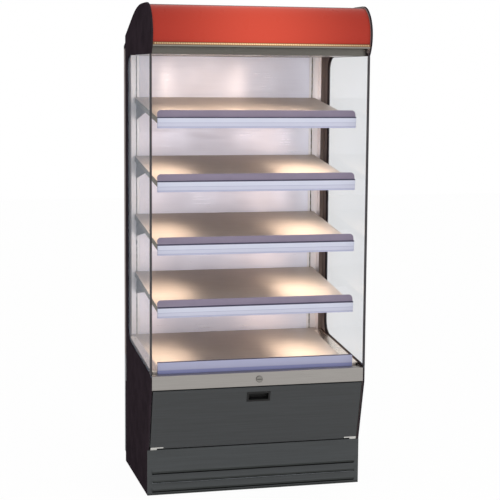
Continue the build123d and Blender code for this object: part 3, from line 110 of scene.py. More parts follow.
def linear(colour: str) -> tuple[float, float, float, float]:
    """Turns an sRGB hex colour into linear values.

    Args:
        colour: The colour as "#rrggbb".

    Returns:
        Red, green, blue and alpha, linear, from 0 to 1.
    """
    values = [int(colour[i : i + 2], 16) / 255 for i in (1, 3, 5)]
    out = [v / 12.92 if v <= 0.04045 else ((v + 0.055) / 1.055) ** 2.4 for v in values]
    return (out[0], out[1], out[2], 1.0)


def add_node(
    tree: Tree,
    kind: str,
    settings: Optional[dict[Any, Any]] = None,
    links: Optional[dict[Any, Socket]] = None,
) -> bpy.types.Node:
    """Adds one node, sets its values and links its inputs.

    Args:
        tree: The node tree that gets the node.
        kind: The node's type name.
        settings: Values by property name, or by the name or number of an input.
        links: Sockets to link from, by the name or number of this node's input.

    Returns:
        The new node.
    """
    node = tree.nodes.new(kind)
    for name, value in (settings or {}).items():
        if hasattr(node, str(name)):
            setattr(node, name, value)
        else:
            node.inputs[name].default_value = value
    for name, source in (links or {}).items():
        tree.links.new(source, node.inputs[name])
    return node


def span(low: float, high: float) -> dict[str, float]:
    """The settings that map a noise's usual range to another one."""
    least, most = NOISE_RANGE
    return {"From Min": least, "From Max": most, "To Min": low, "To Max": high}


def inward(centre: Vector, normal: Vector) -> float:
    """How squarely a face looks towards the middle of the case, from -1 to 1."""
    return normal.x if centre.x < 0 else -normal.x


def end_face(centre: Vector, normal: Vector) -> bool:
    """Says whether a face is on a piece's left or right end."""
    return abs(normal.x) > FACING


@dataclass
class Coat:
    """A material in the making: its nodes, and the colour and roughness that they vary."""

    tree: Tree
    shader: bpy.types.Node
    colour: str
    roughness: float

    def put(self, values: dict[str, Any]) -> None:
        """Sets values of the shader by the names of its inputs."""
        for name, value in values.items():
            self.shader.inputs[name].default_value = value

    def drive(self, name: str, source: Socket) -> None:
        """Links a socket to one of the shader's inputs."""
        self.tree.links.new(source, self.shader.inputs[name])

    def noise(self, size_mm: float, stretch: Stretch = EVEN, detail: float = 3.0) -> Socket:
        """Adds noise whose features have a real size.

        Args:
            size_mm: The size of one feature, in millimetres.
            stretch: Scale factors along X, Y and Z; a small one draws the noise out.
            detail: How many finer layers the noise has.

        Returns:
            The noise's value socket, from 0 to 1.
        """
        place = add_node(self.tree, "ShaderNodeTexCoord").outputs["Object"]
        mapped = add_node(self.tree, "ShaderNodeMapping", {"Scale": stretch}, {"Vector": place})
        sizes = {"Scale": 1.0 / (size_mm * MM), "Detail": detail}
        texture = add_node(
            self.tree, "ShaderNodeTexNoise", sizes, {"Vector": mapped.outputs["Vector"]}
        )
        return texture.outputs["Fac"]

    def vary(self, name: str, value: Socket, low: float, high: float) -> None:
        """Lets a noise vary one of the shader's values, from low to high."""
        mapped = add_node(self.tree, "ShaderNodeMapRange", span(low, high), {"Value": value})
        self.drive(name, mapped.outputs["Result"])

    def tint(self, value: Socket, share: float, other: str) -> None:
        """Lets a noise mix the colour with another one.

        Args:
            value: The noise.
            share: The other colour's share at the noise's high end.
            other: The other colour, as hex.
        """
        mapped = add_node(self.tree, "ShaderNodeMapRange", span(0.0, share), {"Value": value})
        colours = {"data_type": "RGBA", 6: linear(self.colour), 7: linear(other)}
        mix = add_node(self.tree, "ShaderNodeMix", colours, {0: mapped.outputs["Result"]})
        self.drive("Base Color", mix.outputs[2])

    def relief(self, height: Socket, depth_mm: float, strength: float) -> None:
        """Adds fine relief from a noise.

        Args:
            height: The noise.
            depth_mm: The relief's depth, in millimetres.
            strength: How much of it shows.
        """
        sizes = {"Strength": strength, "Distance": depth_mm * MM}
        bump = add_node(self.tree, "ShaderNodeBump", sizes, {"Height": height})
        self.drive("Normal", bump.outputs["Normal"])


@dataclass(frozen=True)
class Finish:
    """A surface: its name, colour and roughness. Subclasses add what their making leaves on it."""

    name: str
    colour: str
    roughness: float = 0.5
    specular: float = 0.5

    def surface(self, coat: Coat) -> None:
        """Adds what the finish's making leaves on it: nothing on a plain surface."""

    def material(self) -> bpy.types.Material:
        """Makes the material once and hands it out again after that.

        Returns:
            The finish's material.
        """
        known = bpy.data.materials.get(self.name)
        if known:
            return known
        made = bpy.data.materials.new(self.name)
        made.use_nodes = True
        tree = made.node_tree
        coat = Coat(tree, tree.nodes["Principled BSDF"], self.colour, self.roughness)
        coat.put({"Base Color": linear(self.colour), "Roughness": self.roughness})
        coat.put({"Specular IOR Level": self.specular})
        self.surface(coat)
        return made


@dataclass(frozen=True)
class BrushedSteel(Finish):
    """Stainless sheet brushed one way: long fine lines that draw highlights out across them."""

    worn: str = "#8f8a84"
    grain: Grain = Grain.ACROSS
    line_mm: float = 1.6
    contrast: float = 0.5
    stretch: float = 0.0
    grooves: float = 0.35

    def surface(self, coat: Coat) -> None:
        """Adds brush lines, 0.2 mm apart on the real sheet and drawn coarser so that they show.

        Args:
            coat: The material in the making.
        """
        coat.put({"Metallic": 1.0, "Anisotropic": self.stretch})
        lines = coat.noise(self.line_mm, self.grain.value, detail=4.0)
        clouds = coat.noise(120.0, detail=2.0)
        coat.tint(lines, self.contrast, self.worn)
        if self.stretch:
            # The tangent lies across the lines, the way that they draw highlights out
            over = {i: 0.0 if share < 0.5 else 1.0 for i, share in enumerate(self.grain.value)}
            line = add_node(coat.tree, "ShaderNodeCombineXYZ", over)
            coat.drive("Tangent", line.outputs[0])
        brushing = span(self.roughness - 0.06, self.roughness + 0.06)
        brushed = add_node(coat.tree, "ShaderNodeMapRange", brushing, {"Value": lines})
        handled = add_node(coat.tree, "ShaderNodeMapRange", span(-0.03, 0.04), {"Value": clouds})
        both = {0: brushed.outputs["Result"], 1: handled.outputs["Result"]}
        rough = add_node(coat.tree, "ShaderNodeMath", {"operation": "ADD"}, both)
        coat.drive("Roughness", rough.outputs[0])
        coat.relief(lines, depth_mm=0.02, strength=self.grooves)


@dataclass(frozen=True)
class PowderCoat(Finish):
    """Baked powder paint on sheet steel: a soft sheen over a fine orange peel."""

    shade: str = "#000000"
    shade_share: float = 0.12
    shade_mm: float = 90.0
    draw: Stretch = EVEN

    def surface(self, coat: Coat) -> None:
        """Adds orange peel of 1.2 mm, and faint clouds of handling or lines of the sheet's rolling.

        Args:
            coat: The material in the making.
        """
        peel = coat.noise(1.2, detail=2.0)
        clouds = coat.noise(self.shade_mm, self.draw)
        coat.tint(clouds, self.shade_share, self.shade)
        coat.vary("Roughness", clouds, self.roughness - 0.05, self.roughness + 0.06)
        coat.relief(peel, depth_mm=0.05, strength=0.35)


@dataclass(frozen=True)
class MouldedPlastic(Finish):
    """Moulded or extruded plastic: an even colour, a fine spark texture and a soft sheen."""

    shade: str = "#000000"
    shade_share: float = 0.08
    spark_mm: float = 0.9

    def surface(self, coat: Coat) -> None:
        """Adds the mould's spark texture and faint flow clouds.

        Args:
            coat: The material in the making.
        """
        coat.put({"IOR": 1.49})
        spark = coat.noise(self.spark_mm, detail=2.0)
        clouds = coat.noise(60.0, detail=2.0)
        coat.tint(clouds, self.shade_share, self.shade)
        coat.vary("Roughness", spark, self.roughness - 0.04, self.roughness + 0.05)
        coat.relief(spark, depth_mm=0.03, strength=0.25)


@dataclass(frozen=True)
class LitAcrylic(Finish):
    """Coloured acrylic sheet lit from behind: glossy, and brightest around the middle of its tube."""

    glow: str = "#ff4a30"
    strength: float = 0.25
    half_width: float = 0.44
    least: float = 0.0
    coat_share: float = 0.1

    def surface(self, coat: Coat) -> None:
        """Adds the light that comes through, which fades towards both ends, and a faint ripple.

        Args:
            coat: The material in the making.
        """
        coat.put({"IOR": 1.49, "Coat Weight": self.coat_share, "Coat Roughness": 0.08})
        place = add_node(coat.tree, "ShaderNodeTexCoord").outputs["Object"]
        split = add_node(coat.tree, "ShaderNodeSeparateXYZ", None, {"Vector": place})
        across = {0: split.outputs["X"]}
        away = add_node(coat.tree, "ShaderNodeMath", {"operation": "ABSOLUTE"}, across)
        ends = {"From Max": self.half_width, "To Min": self.strength, "To Max": self.least}
        shape = {"interpolation_type": "SMOOTHSTEP", "From Min": 0.0, **ends}
        fade = add_node(coat.tree, "ShaderNodeMapRange", shape, {"Value": away.outputs[0]})
        coat.put({"Emission Color": linear(self.glow)})
        coat.drive("Emission Strength", fade.outputs["Result"])
        ripple = coat.noise(45.0, detail=1.0)
        coat.vary("Roughness", ripple, self.roughness - 0.03, self.roughness + 0.04)
        coat.relief(ripple, depth_mm=0.15, strength=0.3)


@dataclass(frozen=True)
class LitLens(Finish):
    """Frosted glass over a warm lamp: bright, and a little brighter in its middle."""

    strength: float = 4.0

    def surface(self, coat: Coat) -> None:
        """Adds the glow and the frosting's faint mottle of 2 mm.

        Args:
            coat: The material in the making.
        """
        coat.put({"Emission Color": linear(self.colour)})
        frost = coat.noise(2.0, detail=2.0)
        coat.vary("Emission Strength", frost, self.strength * 0.92, self.strength * 1.08)


@dataclass(frozen=True)
class FloatGlass(Finish):
    """Clear float glass: nearly all of the light passes, with a faint green-blue body."""

    alpha: float = 0.14

    def surface(self, coat: Coat) -> None:
        """Adds the pane's faint streaks of wiping, 40 mm wide.

        Args:
            coat: The material in the making.
        """
        coat.put({"IOR": 1.52, "Alpha": self.alpha})
        streaks = coat.noise(40.0, (1.0, 1.0, 0.3), detail=2.0)
        coat.vary("Roughness", streaks, self.roughness, self.roughness + 0.05)


@dataclass(frozen=True)
class Galvanised(Finish):
    """Hot-dip galvanised steel: dull zinc in spangles of 7 mm."""

    spangle_mm: float = 7.0

    def surface(self, coat: Coat) -> None:
        """Adds the zinc's spangles.

        Args:
            coat: The material in the making.
        """
        coat.put({"Metallic": 0.9})
        place = add_node(coat.tree, "ShaderNodeTexCoord").outputs["Object"]
        sizes = {"Scale": 1.0 / (self.spangle_mm * MM)}
        cells = add_node(coat.tree, "ShaderNodeTexVoronoi", sizes, {"Vector": place}).outputs["Color"]
        value = add_node(coat.tree, "ShaderNodeSeparateColor", None, {"Color": cells}).outputs["Red"]
        coat.tint(value, 0.3, "#82878b")
        coat.vary("Roughness", value, self.roughness - 0.08, self.roughness + 0.1)


@dataclass(frozen=True)
class MineralWool(Finish):
    """Foil-faced mineral wool board: crinkled, dull and matted."""

    def surface(self, coat: Coat) -> None:
        """Adds the foil's crinkle of 6 mm.

        Args:
            coat: The material in the making.
        """
        crinkle = coat.noise(6.0, detail=5.0)
        coat.tint(crinkle, 0.5, "#8d8874")
        coat.relief(crinkle, depth_mm=0.6, strength=0.8)


# Finishes of the case, each with what it gives the eye

# Moulded ABS, satin: nearly black and even, with hardly any gloss
END_PANEL = MouldedPlastic(
    "satin_abs_end_panel", "#322a30", roughness=0.7, specular=0.0, shade="#1f1a1e", shade_share=0.5
)
# The same ABS on the rounded edge, with a painted highlight where the light grazes it: mid grey
PANEL_EDGE_HIGHLIGHT = MouldedPlastic(
    "satin_abs_panel_edge_painted_highlight", "#77757a", specular=0.2, shade="#5f5d62", shade_share=0.3
)
# The same ABS on the inner face, with painted light from the shelves: a paler brown grey
PANEL_INSIDE_LIT = MouldedPlastic(
    "satin_abs_panel_inside_painted_light", "#877c7a", roughness=0.55, specular=0.1, shade="#6b605e", shade_share=0.3
)
# Extruded PVC channel round the glass: dark grey with a faint sheen
EDGE_TRIM = MouldedPlastic(
    "extruded_pvc_edge_trim", "#454347", specular=0.2, shade="#2b292c", shade_share=0.4
)
# The bead that keeps the glass in the channel: a dark brown line
GLASS_BEAD = MouldedPlastic(
    "extruded_pvc_glazing_bead",
    "#33292a",
    roughness=0.6,
    specular=0.05,
    shade="#241d1d",
    shade_share=0.4,
)
# Float glass: clear, with a cool cast and a sharp gloss
GLAZING = FloatGlass("clear_float_glazing", "#6a84a6", roughness=0.03, alpha=0.17)
# Brushed stainless wall: pale, and lamps stand in it as tall soft streaks
LINER = BrushedSteel(
    "brushed_stainless_back_wall",
    "#f7f4ff",
    roughness=0.34,
    worn="#edeaf6",
    line_mm=2.4,
    contrast=0.4,
    stretch=0.86,
    grooves=0.1,
)
# Brushed stainless ceiling: pale and soft
CEILING = BrushedSteel("brushed_stainless_ceiling", "#dcd6d3", roughness=0.4, worn="#c9c3c0")
# Brushed stainless shelf: a warm grey on which each lamp leaves a wide glow
SHELF_STEEL = BrushedSteel(
    "brushed_stainless_shelf", "#cfc5be", roughness=0.46, worn="#bab0a9", stretch=0.85
)
# The shelf's side flange, brushed along its depth, with painted shade: darker
SHELF_FLANGE_SHADED = BrushedSteel(
    "brushed_stainless_shelf_flange_painted_shade", "#7d7669", roughness=0.45, worn="#655f54", grain=Grain.DEPTH
)
# Brushed stainless upright: the brightest metal, with fine lines along its height
UPRIGHT = BrushedSteel(
    "brushed_stainless_upright",
    "#fbf6f7",
    roughness=0.42,
    worn="#ece6e7",
    grain=Grain.UPRIGHT,
    contrast=0.4,
)
# The strip along each upright's slots, painted darker as a shadow line: a thin darker line
SLOT_SHADOW_LINE = BrushedSteel(
    "upright_slot_painted_shadow_line", "#7d7673", specular=0.4, worn="#6a6461", grain=Grain.UPRIGHT
)
# Powder-coated rear post: brown grey, without gloss
POST = PowderCoat("dark_powder_coated_post", "#8a7f7c", specular=0.1, shade="#6b615f", shade_share=0.3)
# Powder-coated shelf bracket: dark grey with a soft sheen
BRACKET = PowderCoat(
    "grey_powder_coated_bracket",
    "#5a5554",
    roughness=0.45,
    specular=0.3,
    shade="#3d3938",
    shade_share=0.3,
)
# Powder-coated rear sheet: mid grey, plain
REAR_SHEET = PowderCoat(
    "grey_powder_coated_rear", "#84868a", specular=0.3, shade="#6b6d70", shade_share=0.3
)
# Powder-coated hood cover: nearly black with a soft sheen
COVER = PowderCoat(
    "dark_powder_coated_cover", "#322b30", specular=0.2, shade="#1f1b1f", shade_share=0.3
)
# The kick plate's paint with painted shade on each louvre's slope and along the plate's foot: darker
KICK_PAINTED_SHADE = PowderCoat(
    "charcoal_kick_plate_painted_shade",
    "#3b3e3e",
    roughness=0.6,
    specular=0.1,
    shade="#2c2d2c",
    shade_share=0.5,
)
# The same paint with painted shadow under a louvre's lip and on the slot's upward edges: a nearly black
# line
KICK_PAINTED_SHADOW = PowderCoat(
    "louvre_lip_painted_shadow",
    "#1c1d1d",
    roughness=0.7,
    specular=0.0,
    shade="#151615",
    shade_share=0.5,
)
# The sign sheet's top 2.5 mm, darkened: dark red, without the glow
SIGN_EDGE = MouldedPlastic(
    "acrylic_sign_top_edge", "#3d1512", specular=0.1, shade="#2a0e0c", shade_share=0.4
)
# The faint lines that rolling leaves across the base's sheets, as a stretch of the noise
ROLLED = (0.03, 1.0, 1.0)
# Powder coat over rolled sheet: charcoal with faint level lines
FLAP_PAINT = PowderCoat(
    "charcoal_powder_coated_flap",
    "#444648",
    roughness=0.46,
    specular=0.2,
    shade="#383938",
    shade_share=0.35,
    shade_mm=7.0,
    draw=ROLLED,
)
# The same coat on the kick plate, a shade lighter
KICK_PAINT = PowderCoat(
    "charcoal_powder_coated_kick",
    "#484b4d",
    roughness=0.48,
    specular=0.2,
    shade="#3a3b3b",
    shade_share=0.35,
    shade_mm=7.0,
    draw=ROLLED,
)
# Red acrylic lit by a tube: deep red, brightest in its middle, with a soft gloss
SIGN = LitAcrylic(
    "backlit_red_acrylic_sign",
    "#a0332a",
    roughness=0.3,
    specular=0.06,
    glow="#ff6c50",
    strength=0.34,
    half_width=0.49,
    least=0.04,
    coat_share=0.04,
)
# Smoked amber acrylic: a thin brown strip with a faint glow
STRIP = LitAcrylic(
    "smoked_amber_light_strip",
    "#7d5a40",
    roughness=0.35,
    specular=0.2,
    glow="#ffb060",
    strength=0.14,
    half_width=0.50,
    coat_share=0.0,
)
# Frosted domes moulded on the strip: a row of small pale lights
BEADS = LitAcrylic(
    "frosted_amber_light_domes",
    "#c9ad82",
    roughness=0.25,
    specular=0.3,
    glow="#ffe0b0",
    strength=0.95,
    half_width=0.50,
    least=0.05,
    coat_share=0.0,
)
# Anodised aluminium rail under the hood: dark satin grey
HOOD_RAIL = BrushedSteel("satin_anodised_hood_rail", "#6a6762", roughness=0.30, worn="#57544f")
# Anodised aluminium sill under the strip: a lighter satin grey
HOOD_SILL = BrushedSteel("satin_anodised_hood_sill", "#8b877f", roughness=0.36, worn="#74706a")
# Brushed stainless fascia: mid grey with long level lines
FASCIA = BrushedSteel(
    "brushed_stainless_fascia", "#a29e9a", roughness=0.34, worn="#8b8783", contrast=0.4
)
# Polished latch head: small and bright
LATCH = BrushedSteel("polished_latch_head", "#8d8a85", roughness=0.24, worn="#6b6965")
# The latch head's slot, with painted shade in its recess: a dark mark in it
LATCH_SLOT_SHADE = BrushedSteel("latch_slot_painted_shade", "#4b4946", specular=0.4, worn="#393734")
# Extruded PVC label rail: pale lilac grey and smooth
LABEL_RAIL = MouldedPlastic(
    "extruded_pvc_label_rail", "#cdcfe2", roughness=0.34, specular=0.3, shade="#c2c5dc", shade_share=0.2
)
# The rail's upper edge, with painted light where it turns up to the light: the palest band
RAIL_HEAD_LIT = MouldedPlastic(
    "extruded_pvc_rail_head_painted_light", "#d3d6e8", roughness=0.34, specular=0.3, shade="#c6c9e0", shade_share=0.2
)
# The rail's lower edge, with painted shade where it turns under: a bluer band
RAIL_FOOT_SHADED = MouldedPlastic(
    "extruded_pvc_rail_foot_painted_shade", "#bbbdd8", roughness=0.34, specular=0.3, shade="#adb0cf", shade_share=0.2
)
# Thin painted shade lines across the rail: a darker line
RAIL_SHADE_LINE = MouldedPlastic(
    "extruded_pvc_rail_painted_shade_line", "#a5a7c3", roughness=0.4, specular=0.2, shade="#9a9cbc", shade_share=0.2
)
# The deck's rail, with the shelves' shade painted on it: a greyer lilac
DECK_RAIL_SHADED = MouldedPlastic(
    "extruded_pvc_deck_rail_painted_shade",
    "#aeb0cd",
    roughness=0.34,
    specular=0.3,
    shade="#a2a5c6",
    shade_share=0.2,
)
# Its lower half, with painted shade where it leans under: bluer and darker
DECK_RAIL_DEEP_SHADE = MouldedPlastic(
    "extruded_pvc_deck_rail_painted_deep_shade",
    "#888cb8",
    roughness=0.36,
    specular=0.3,
    shade="#7a7eae",
    shade_share=0.2,
)
# Painted shadow at the lip's foot, on the rails' undercut edges and on the deck rail's ends: a dark
# violet line
RAIL_PAINTED_SHADOW = MouldedPlastic(
    "extruded_pvc_rail_shadow_edge",
    "#45435a",
    roughness=0.45,
    specular=0.2,
    shade="#353348",
    shade_share=0.2,
)
# Brushed stainless ledge beside the deck: pale and rather glossy
LEDGE_STEEL = BrushedSteel(
    "brushed_stainless_deck_ledge",
    "#efe6dc",
    roughness=0.3,
    worn="#e3d9ce",
    grain=Grain.DEPTH,
    line_mm=3.0,
    contrast=0.2,
    grooves=0.05,
)
# Silicone between ledge and end panel, painted dull brown for the shade in the gap there
SILL_SEAL_SHADE = MouldedPlastic(
    "silicone_sill_seal_painted_gap_shade", "#4a382c", specular=0.2, shade="#382a21", shade_share=0.3
)
# Open-cell foam behind the louvres: black, coarse and without gloss
FILTER_FOAM = MouldedPlastic(
    "open_cell_filter_foam",
    "#141415",
    roughness=0.9,
    specular=0.0,
    shade="#090909",
    shade_share=0.5,
    spark_mm=2.2,
)
# Smoked acrylic lip of a shelf: purple grey and glossy
LIP = MouldedPlastic(
    "smoked_acrylic_lip", "#8d8398", roughness=0.18, specular=0.3, shade="#7d7388", shade_share=0.3
)
# The lip's foot, where the rail shows through: a bluer band
LIP_BAND = MouldedPlastic(
    "smoked_acrylic_lip_foot", "#8b83a4", roughness=0.2, specular=0.3, shade="#7f7797", shade_share=0.3
)
# Textured ABS of pull, dial, switch and inlet: black, satin
BLACK_ABS = MouldedPlastic(
    "textured_black_abs", "#161616", specular=0.3, shade="#0b0b0b", shade_share=0.3
)
# Moulded rubber feet: black and dull
RUBBER = MouldedPlastic(
    "moulded_rubber_foot",
    "#19191a",
    roughness=0.7,
    specular=0.3,
    shade="#0d0d0d",
    shade_share=0.3,
    spark_mm=1.5,
)
# Spun aluminium lamp rings: bright satin
LAMP_BODY = BrushedSteel("spun_aluminium_lamp_ring", "#d3cfc8", roughness=0.35, worn="#a29d95")
# Bright zinc plate of hinges, keeper and screws: pale and shiny
ZINC = BrushedSteel("bright_zinc_plate", "#d3d1cd", roughness=0.34, worn="#b3b1ac")
# Galvanised sheet inside the base: dull blue grey with spangles
ZINC_SHEET = Galvanised("galvanised_sheet", "#a4a9ad", roughness=0.42)
# Painted motor casting: dark grey, satin
MOTOR = PowderCoat("painted_motor_casting", "#4a4d52", specular=0.4, shade="#333539", shade_share=0.4)
# Foil-faced wool board: crinkled and buff
WOOL = MineralWool("foil_faced_wool_board", "#b9b29c", roughness=0.6)
# Frosted glass over the shelf lamps: a bright warm white
WARM_LENS = LitLens("frosted_warm_lens", "#ffe6c0", roughness=0.3, strength=5.0)
# Frosted glass over the canopy lamps, seen edge-on: a dimmer buff
CANOPY_LENS = LitLens("frosted_canopy_lens", "#b8a488", roughness=0.4, strength=0.8)
# Frosted tube in the hood: a warm white
TUBE = LitLens("frosted_tube_light", "#fff1dd", roughness=0.3, strength=1.5)


def new_object(name: str, data: bpy.types.ID) -> Item:
    """Puts a mesh, light or camera into the scene.

    Args:
        name: The object's name.
        data: Its mesh, light or camera.

    Returns:
        The object.
    """
    made = bpy.data.objects.new(name, data)
    bpy.context.scene.collection.objects.link(made)
    return made


def smooth(mesh: bpy.types.Mesh) -> None:
    """Shades a mesh smoothly, apart from its sharp edges."""
    mesh.shade_smooth()
    mesh.set_sharp_from_angle(angle=SHARP_ANGLE)


def new_piece(name: str, work: bmesh.types.BMesh) -> Item:
    """Turns worked geometry into a piece and frees it.

    Args:
        name: The piece's name.
        work: The geometry, in the part's frame.

    Returns:
        The piece.
    """
    mesh = bpy.data.meshes.new(name)
    work.to_mesh(mesh)
    work.free()
    smooth(mesh)
    return new_object(name, mesh)


def area_light(name: str, place: Vector, way: Vector, power: float, size: float) -> Item:
    """Adds one area light.

    Args:
        name: The light's name.
        place: Where it is.
        way: The way that it shines.
        power: Its power in watts.
        size: Its width.

    Returns:
        The light's object.
    """
    data = bpy.data.lights.new(name, "AREA")
    data.size = size
    data.energy = power
    lamp = new_object(name, data)
    turn = DOWN.rotation_difference(way).to_matrix().to_4x4()
    lamp.matrix_world = Matrix.Translation(place) @ turn
    return lamp


def dress(piece: Item, finish: Finish) -> None:
    """Gives every face of a piece one finish."""
    piece.data.materials.clear()
    piece.data.materials.append(finish.material())


@dataclass
class Case:
    """What the sub-assemblies share: the frame and the list of pieces made."""

    frame: dict[str, Any]
    pieces: list[Item] = field(default_factory=list)

    def slot_of(self, node: str) -> str:
        """Looks up the record's material slot of a CAD node.

        Args:
            node: The node's name.

        Returns:
            The slot's name.
        """
        for entry in self.frame["record"]["subparts"]:
            if entry["node"] == node:
                return entry["material_slot"]
        raise KeyError(node)

    def keep(self, node: str, finish: Finish) -> None:
        """Keeps a CAD node's shape and gives it a finish.

        Args:
            node: The node's name.
            finish: Its finish.
        """
        for entry in self.frame["nodes"][node].material_slots:
            entry.material = finish.material()
        LOG.info("%s keeps its shape", node)

    def soften(self, node: str, finish: Finish, edge_mm: float = 0.5) -> Item:
        """Replaces a CAD node by its own shape with broken edges.

        Args:
            node: The node's name.
            finish: Its finish.
            edge_mm: The radius of its edges, in millimetres.

        Returns:
            The new piece.
        """
        source = self.frame["nodes"][node]
        work = bmesh.new()
        work.from_mesh(source.data)
        bmesh.ops.remove_doubles(work, verts=work.verts, dist=1e-6)
        bmesh.ops.dissolve_limit(
            work, angle_limit=math.radians(0.2), verts=work.verts, edges=work.edges
        )
        piece = new_piece(f"{node}_finished", work)
        break_edges(piece, edge_mm)
        dress(piece, finish)
        self.add(piece, source["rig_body"], self.slot_of(node))
        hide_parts(node)
        return piece

    def bands(self, piece: Item, levels: list[tuple[float, Finish]], axis: int = 2) -> None:
        """Gives a piece bands of other finishes by height, each split off along a clean line.

        Args:
            piece: The piece.
            levels: Where each band starts, as a share of the piece's height from its foot, and its
                finish, from the lowest band up.
            axis: The axis that counts as height: 0 bands it across its width.
        """
        mesh = piece.data
        heights = [vertex.co[axis] for vertex in mesh.vertices]
        way = Vector([1.0 if i == axis else 0.0 for i in range(3)])
        foot = min(heights)
        tall = max(heights) - foot
        work = bmesh.new()
        work.from_mesh(mesh)
        for share, _ in levels[1:]:
            bmesh.ops.bisect_plane(
                work,
                geom=work.verts[:] + work.edges[:] + work.faces[:],
                plane_co=way * (foot + share * tall),
                plane_no=way,
            )
        mesh.materials.clear()
        for _, finish in levels:
            mesh.materials.append(finish.material())
        for face in work.faces:
            here = (face.calc_center_median()[axis] - foot) / tall
            face.material_index = max(i for i, (share, _) in enumerate(levels) if share <= max(here, 0.0))
        work.to_mesh(mesh)
        work.free()

    def paint(self, piece: Item, finish: Finish, chosen: Callable[[Vector, Vector], bool]) -> None:
        """Gives some faces of a piece one more finish.

        Args:
            piece: The piece.
            finish: The finish.
            chosen: Says from a face's centre and normal whether the face gets it.
        """
        piece.data.materials.append(finish.material())
        last = len(piece.data.materials) - 1
        for face in piece.data.polygons:
            if chosen(face.center, face.normal):
                face.material_index = last

    def add(self, piece: Item, body: str, slot: str) -> None:
        """Lets a piece ride on a body, and lists and logs it.

        Args:
            piece: The piece, in place.
            body: The body that it moves with.
            slot: The record's material slot; not used.
        """
        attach(piece, body)
        self.pieces.append(piece)
        LOG.info("%s rides on %s", piece.name, body)


def disc(
    name: str,
    centre: Vector,
    down: Vector,
    radius: float,
    crown: float,
    steps: int = 48,
    rings: int = 6,
) -> Item:
    """Makes a shallow domed lens.

    Args:
        name: The piece's name.
        centre: The middle of its rim.
        down: The way that it faces.
        radius: Its radius.
        crown: How far its middle stands out.
        steps: How many corners its rim has.
        rings: How many rings it has from its middle to its rim.

    Returns:
        The lens.
    """
    work = bmesh.new()
    turn = Vector((0, 0, 1)).rotation_difference(down).to_matrix().to_4x4()
    angles = [2 * math.pi * step / steps for step in range(steps)]
    loops = []
    for ring in range(1, rings + 1):
        share = ring / rings
        reach = radius * share
        height = crown * math.sqrt(max(0.0, 1 - share * share))
        corners = [(reach * math.cos(angle), reach * math.sin(angle), height) for angle in angles]
        loops.append([work.verts.new(corner) for corner in corners])
    top = work.verts.new((0, 0, crown))
    for step in range(steps):
        after = (step + 1) % steps
        work.faces.new((top, loops[0][step], loops[0][after]))
        for inner, outer in zip(loops, loops[1:]):
            work.faces.new((inner[step], outer[step], outer[after], inner[after]))
    work.faces.new(list(reversed(loops[-1])))
    work.transform(Matrix.Translation(centre) @ turn)
    return new_piece(name, work)


def prism(name: str, sections: list[list[tuple[float, float, float]]]) -> Item:
    """Makes a closed piece that runs through sections with the same number of corners.

    Args:
        name: The piece's name.
        sections: The corners of each section in order, in metres.

    Returns:
        The piece.
    """
    work = bmesh.new()
    rings = [[work.verts.new(corner) for corner in section] for section in sections]
    count = len(rings[0])
    for near, far in zip(rings, rings[1:]):
        for i in range(count):
            after = (i + 1) % count
            work.faces.new((near[i], near[after], far[after], far[i]))
    work.faces.new(list(reversed(rings[0])))
    work.faces.new(rings[-1])
    bmesh.ops.recalc_face_normals(work, faces=work.faces)
    return new_piece(name, work)


def break_edges(piece: Item, edge_mm: float) -> None:
    """Bevels a piece's sharp edges.

    Args:
        piece: The piece.
        edge_mm: The radius of its edges, in millimetres.
    """
    bevel = piece.modifiers.new("broken_edges", "BEVEL")
    bevel.width = edge_mm * MM
    bevel.segments = 2
    bevel.limit_method = "ANGLE"
    bevel.angle_limit = SHARP_ANGLE
    bevel.harden_normals = True


def join(name: str, parts: list[Item]) -> Item:
    """Joins pieces into one.

    Args:
        name: The new piece's name.
        parts: The pieces, which go.

    Returns:
        The new piece.
    """
    work = bmesh.new()
    for part in parts:
        work.from_mesh(part.data)
        bpy.data.objects.remove(part)
    return new_piece(name, work)


def warm_light(
    name: str,
    place: Vector,
    down: Vector,
    power: float,
    size: float,
    body: str,
    spread: float = 110.0,
    height: float = 0.0,
    colour: str = LAMP_WARMTH,
) -> None:
    """Adds the light that a lamp throws, moving with its body.

    Args:
        name: The light's name.
        place: Where it is.
        down: The way that it shines.
        power: Its power in watts.
        size: Its diameter.
        body: The body that it moves with.
        spread: The angle of its beam, in degrees.
        height: The height of a strip as wide as the diameter; none makes a disc.
        colour: Its colour.
    """
    lamp = area_light(name, place, down, power, size)
    lamp.data.shape = "RECTANGLE" if height else "DISK"
    lamp.data.size_y = height or size
    lamp.data.color = linear(colour)[:3]
    lamp.data.spread = math.radians(spread)
    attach(lamp, body)


def lit_lens(case: Case, name: str, centre: Vector, down: Vector, finish: Finish, body: str) -> None:
    """Adds the domed lens of a lamp.

    Args:
        case: The case that the lamp belongs to.
        name: The lens's name.
        centre: The middle of its rim.
        down: The way that it faces.
        finish: Its finish.
        body: The body that it moves with.
    """
    lens = disc(name, centre, down, LENS_RADIUS, LENS_CROWN)
    dress(lens, finish)
    case.add(lens, body, "lamp")


@dataclass
class SubAssembly:
    """One sub-assembly, which builds and dresses its own pieces of the case."""

    case: Case


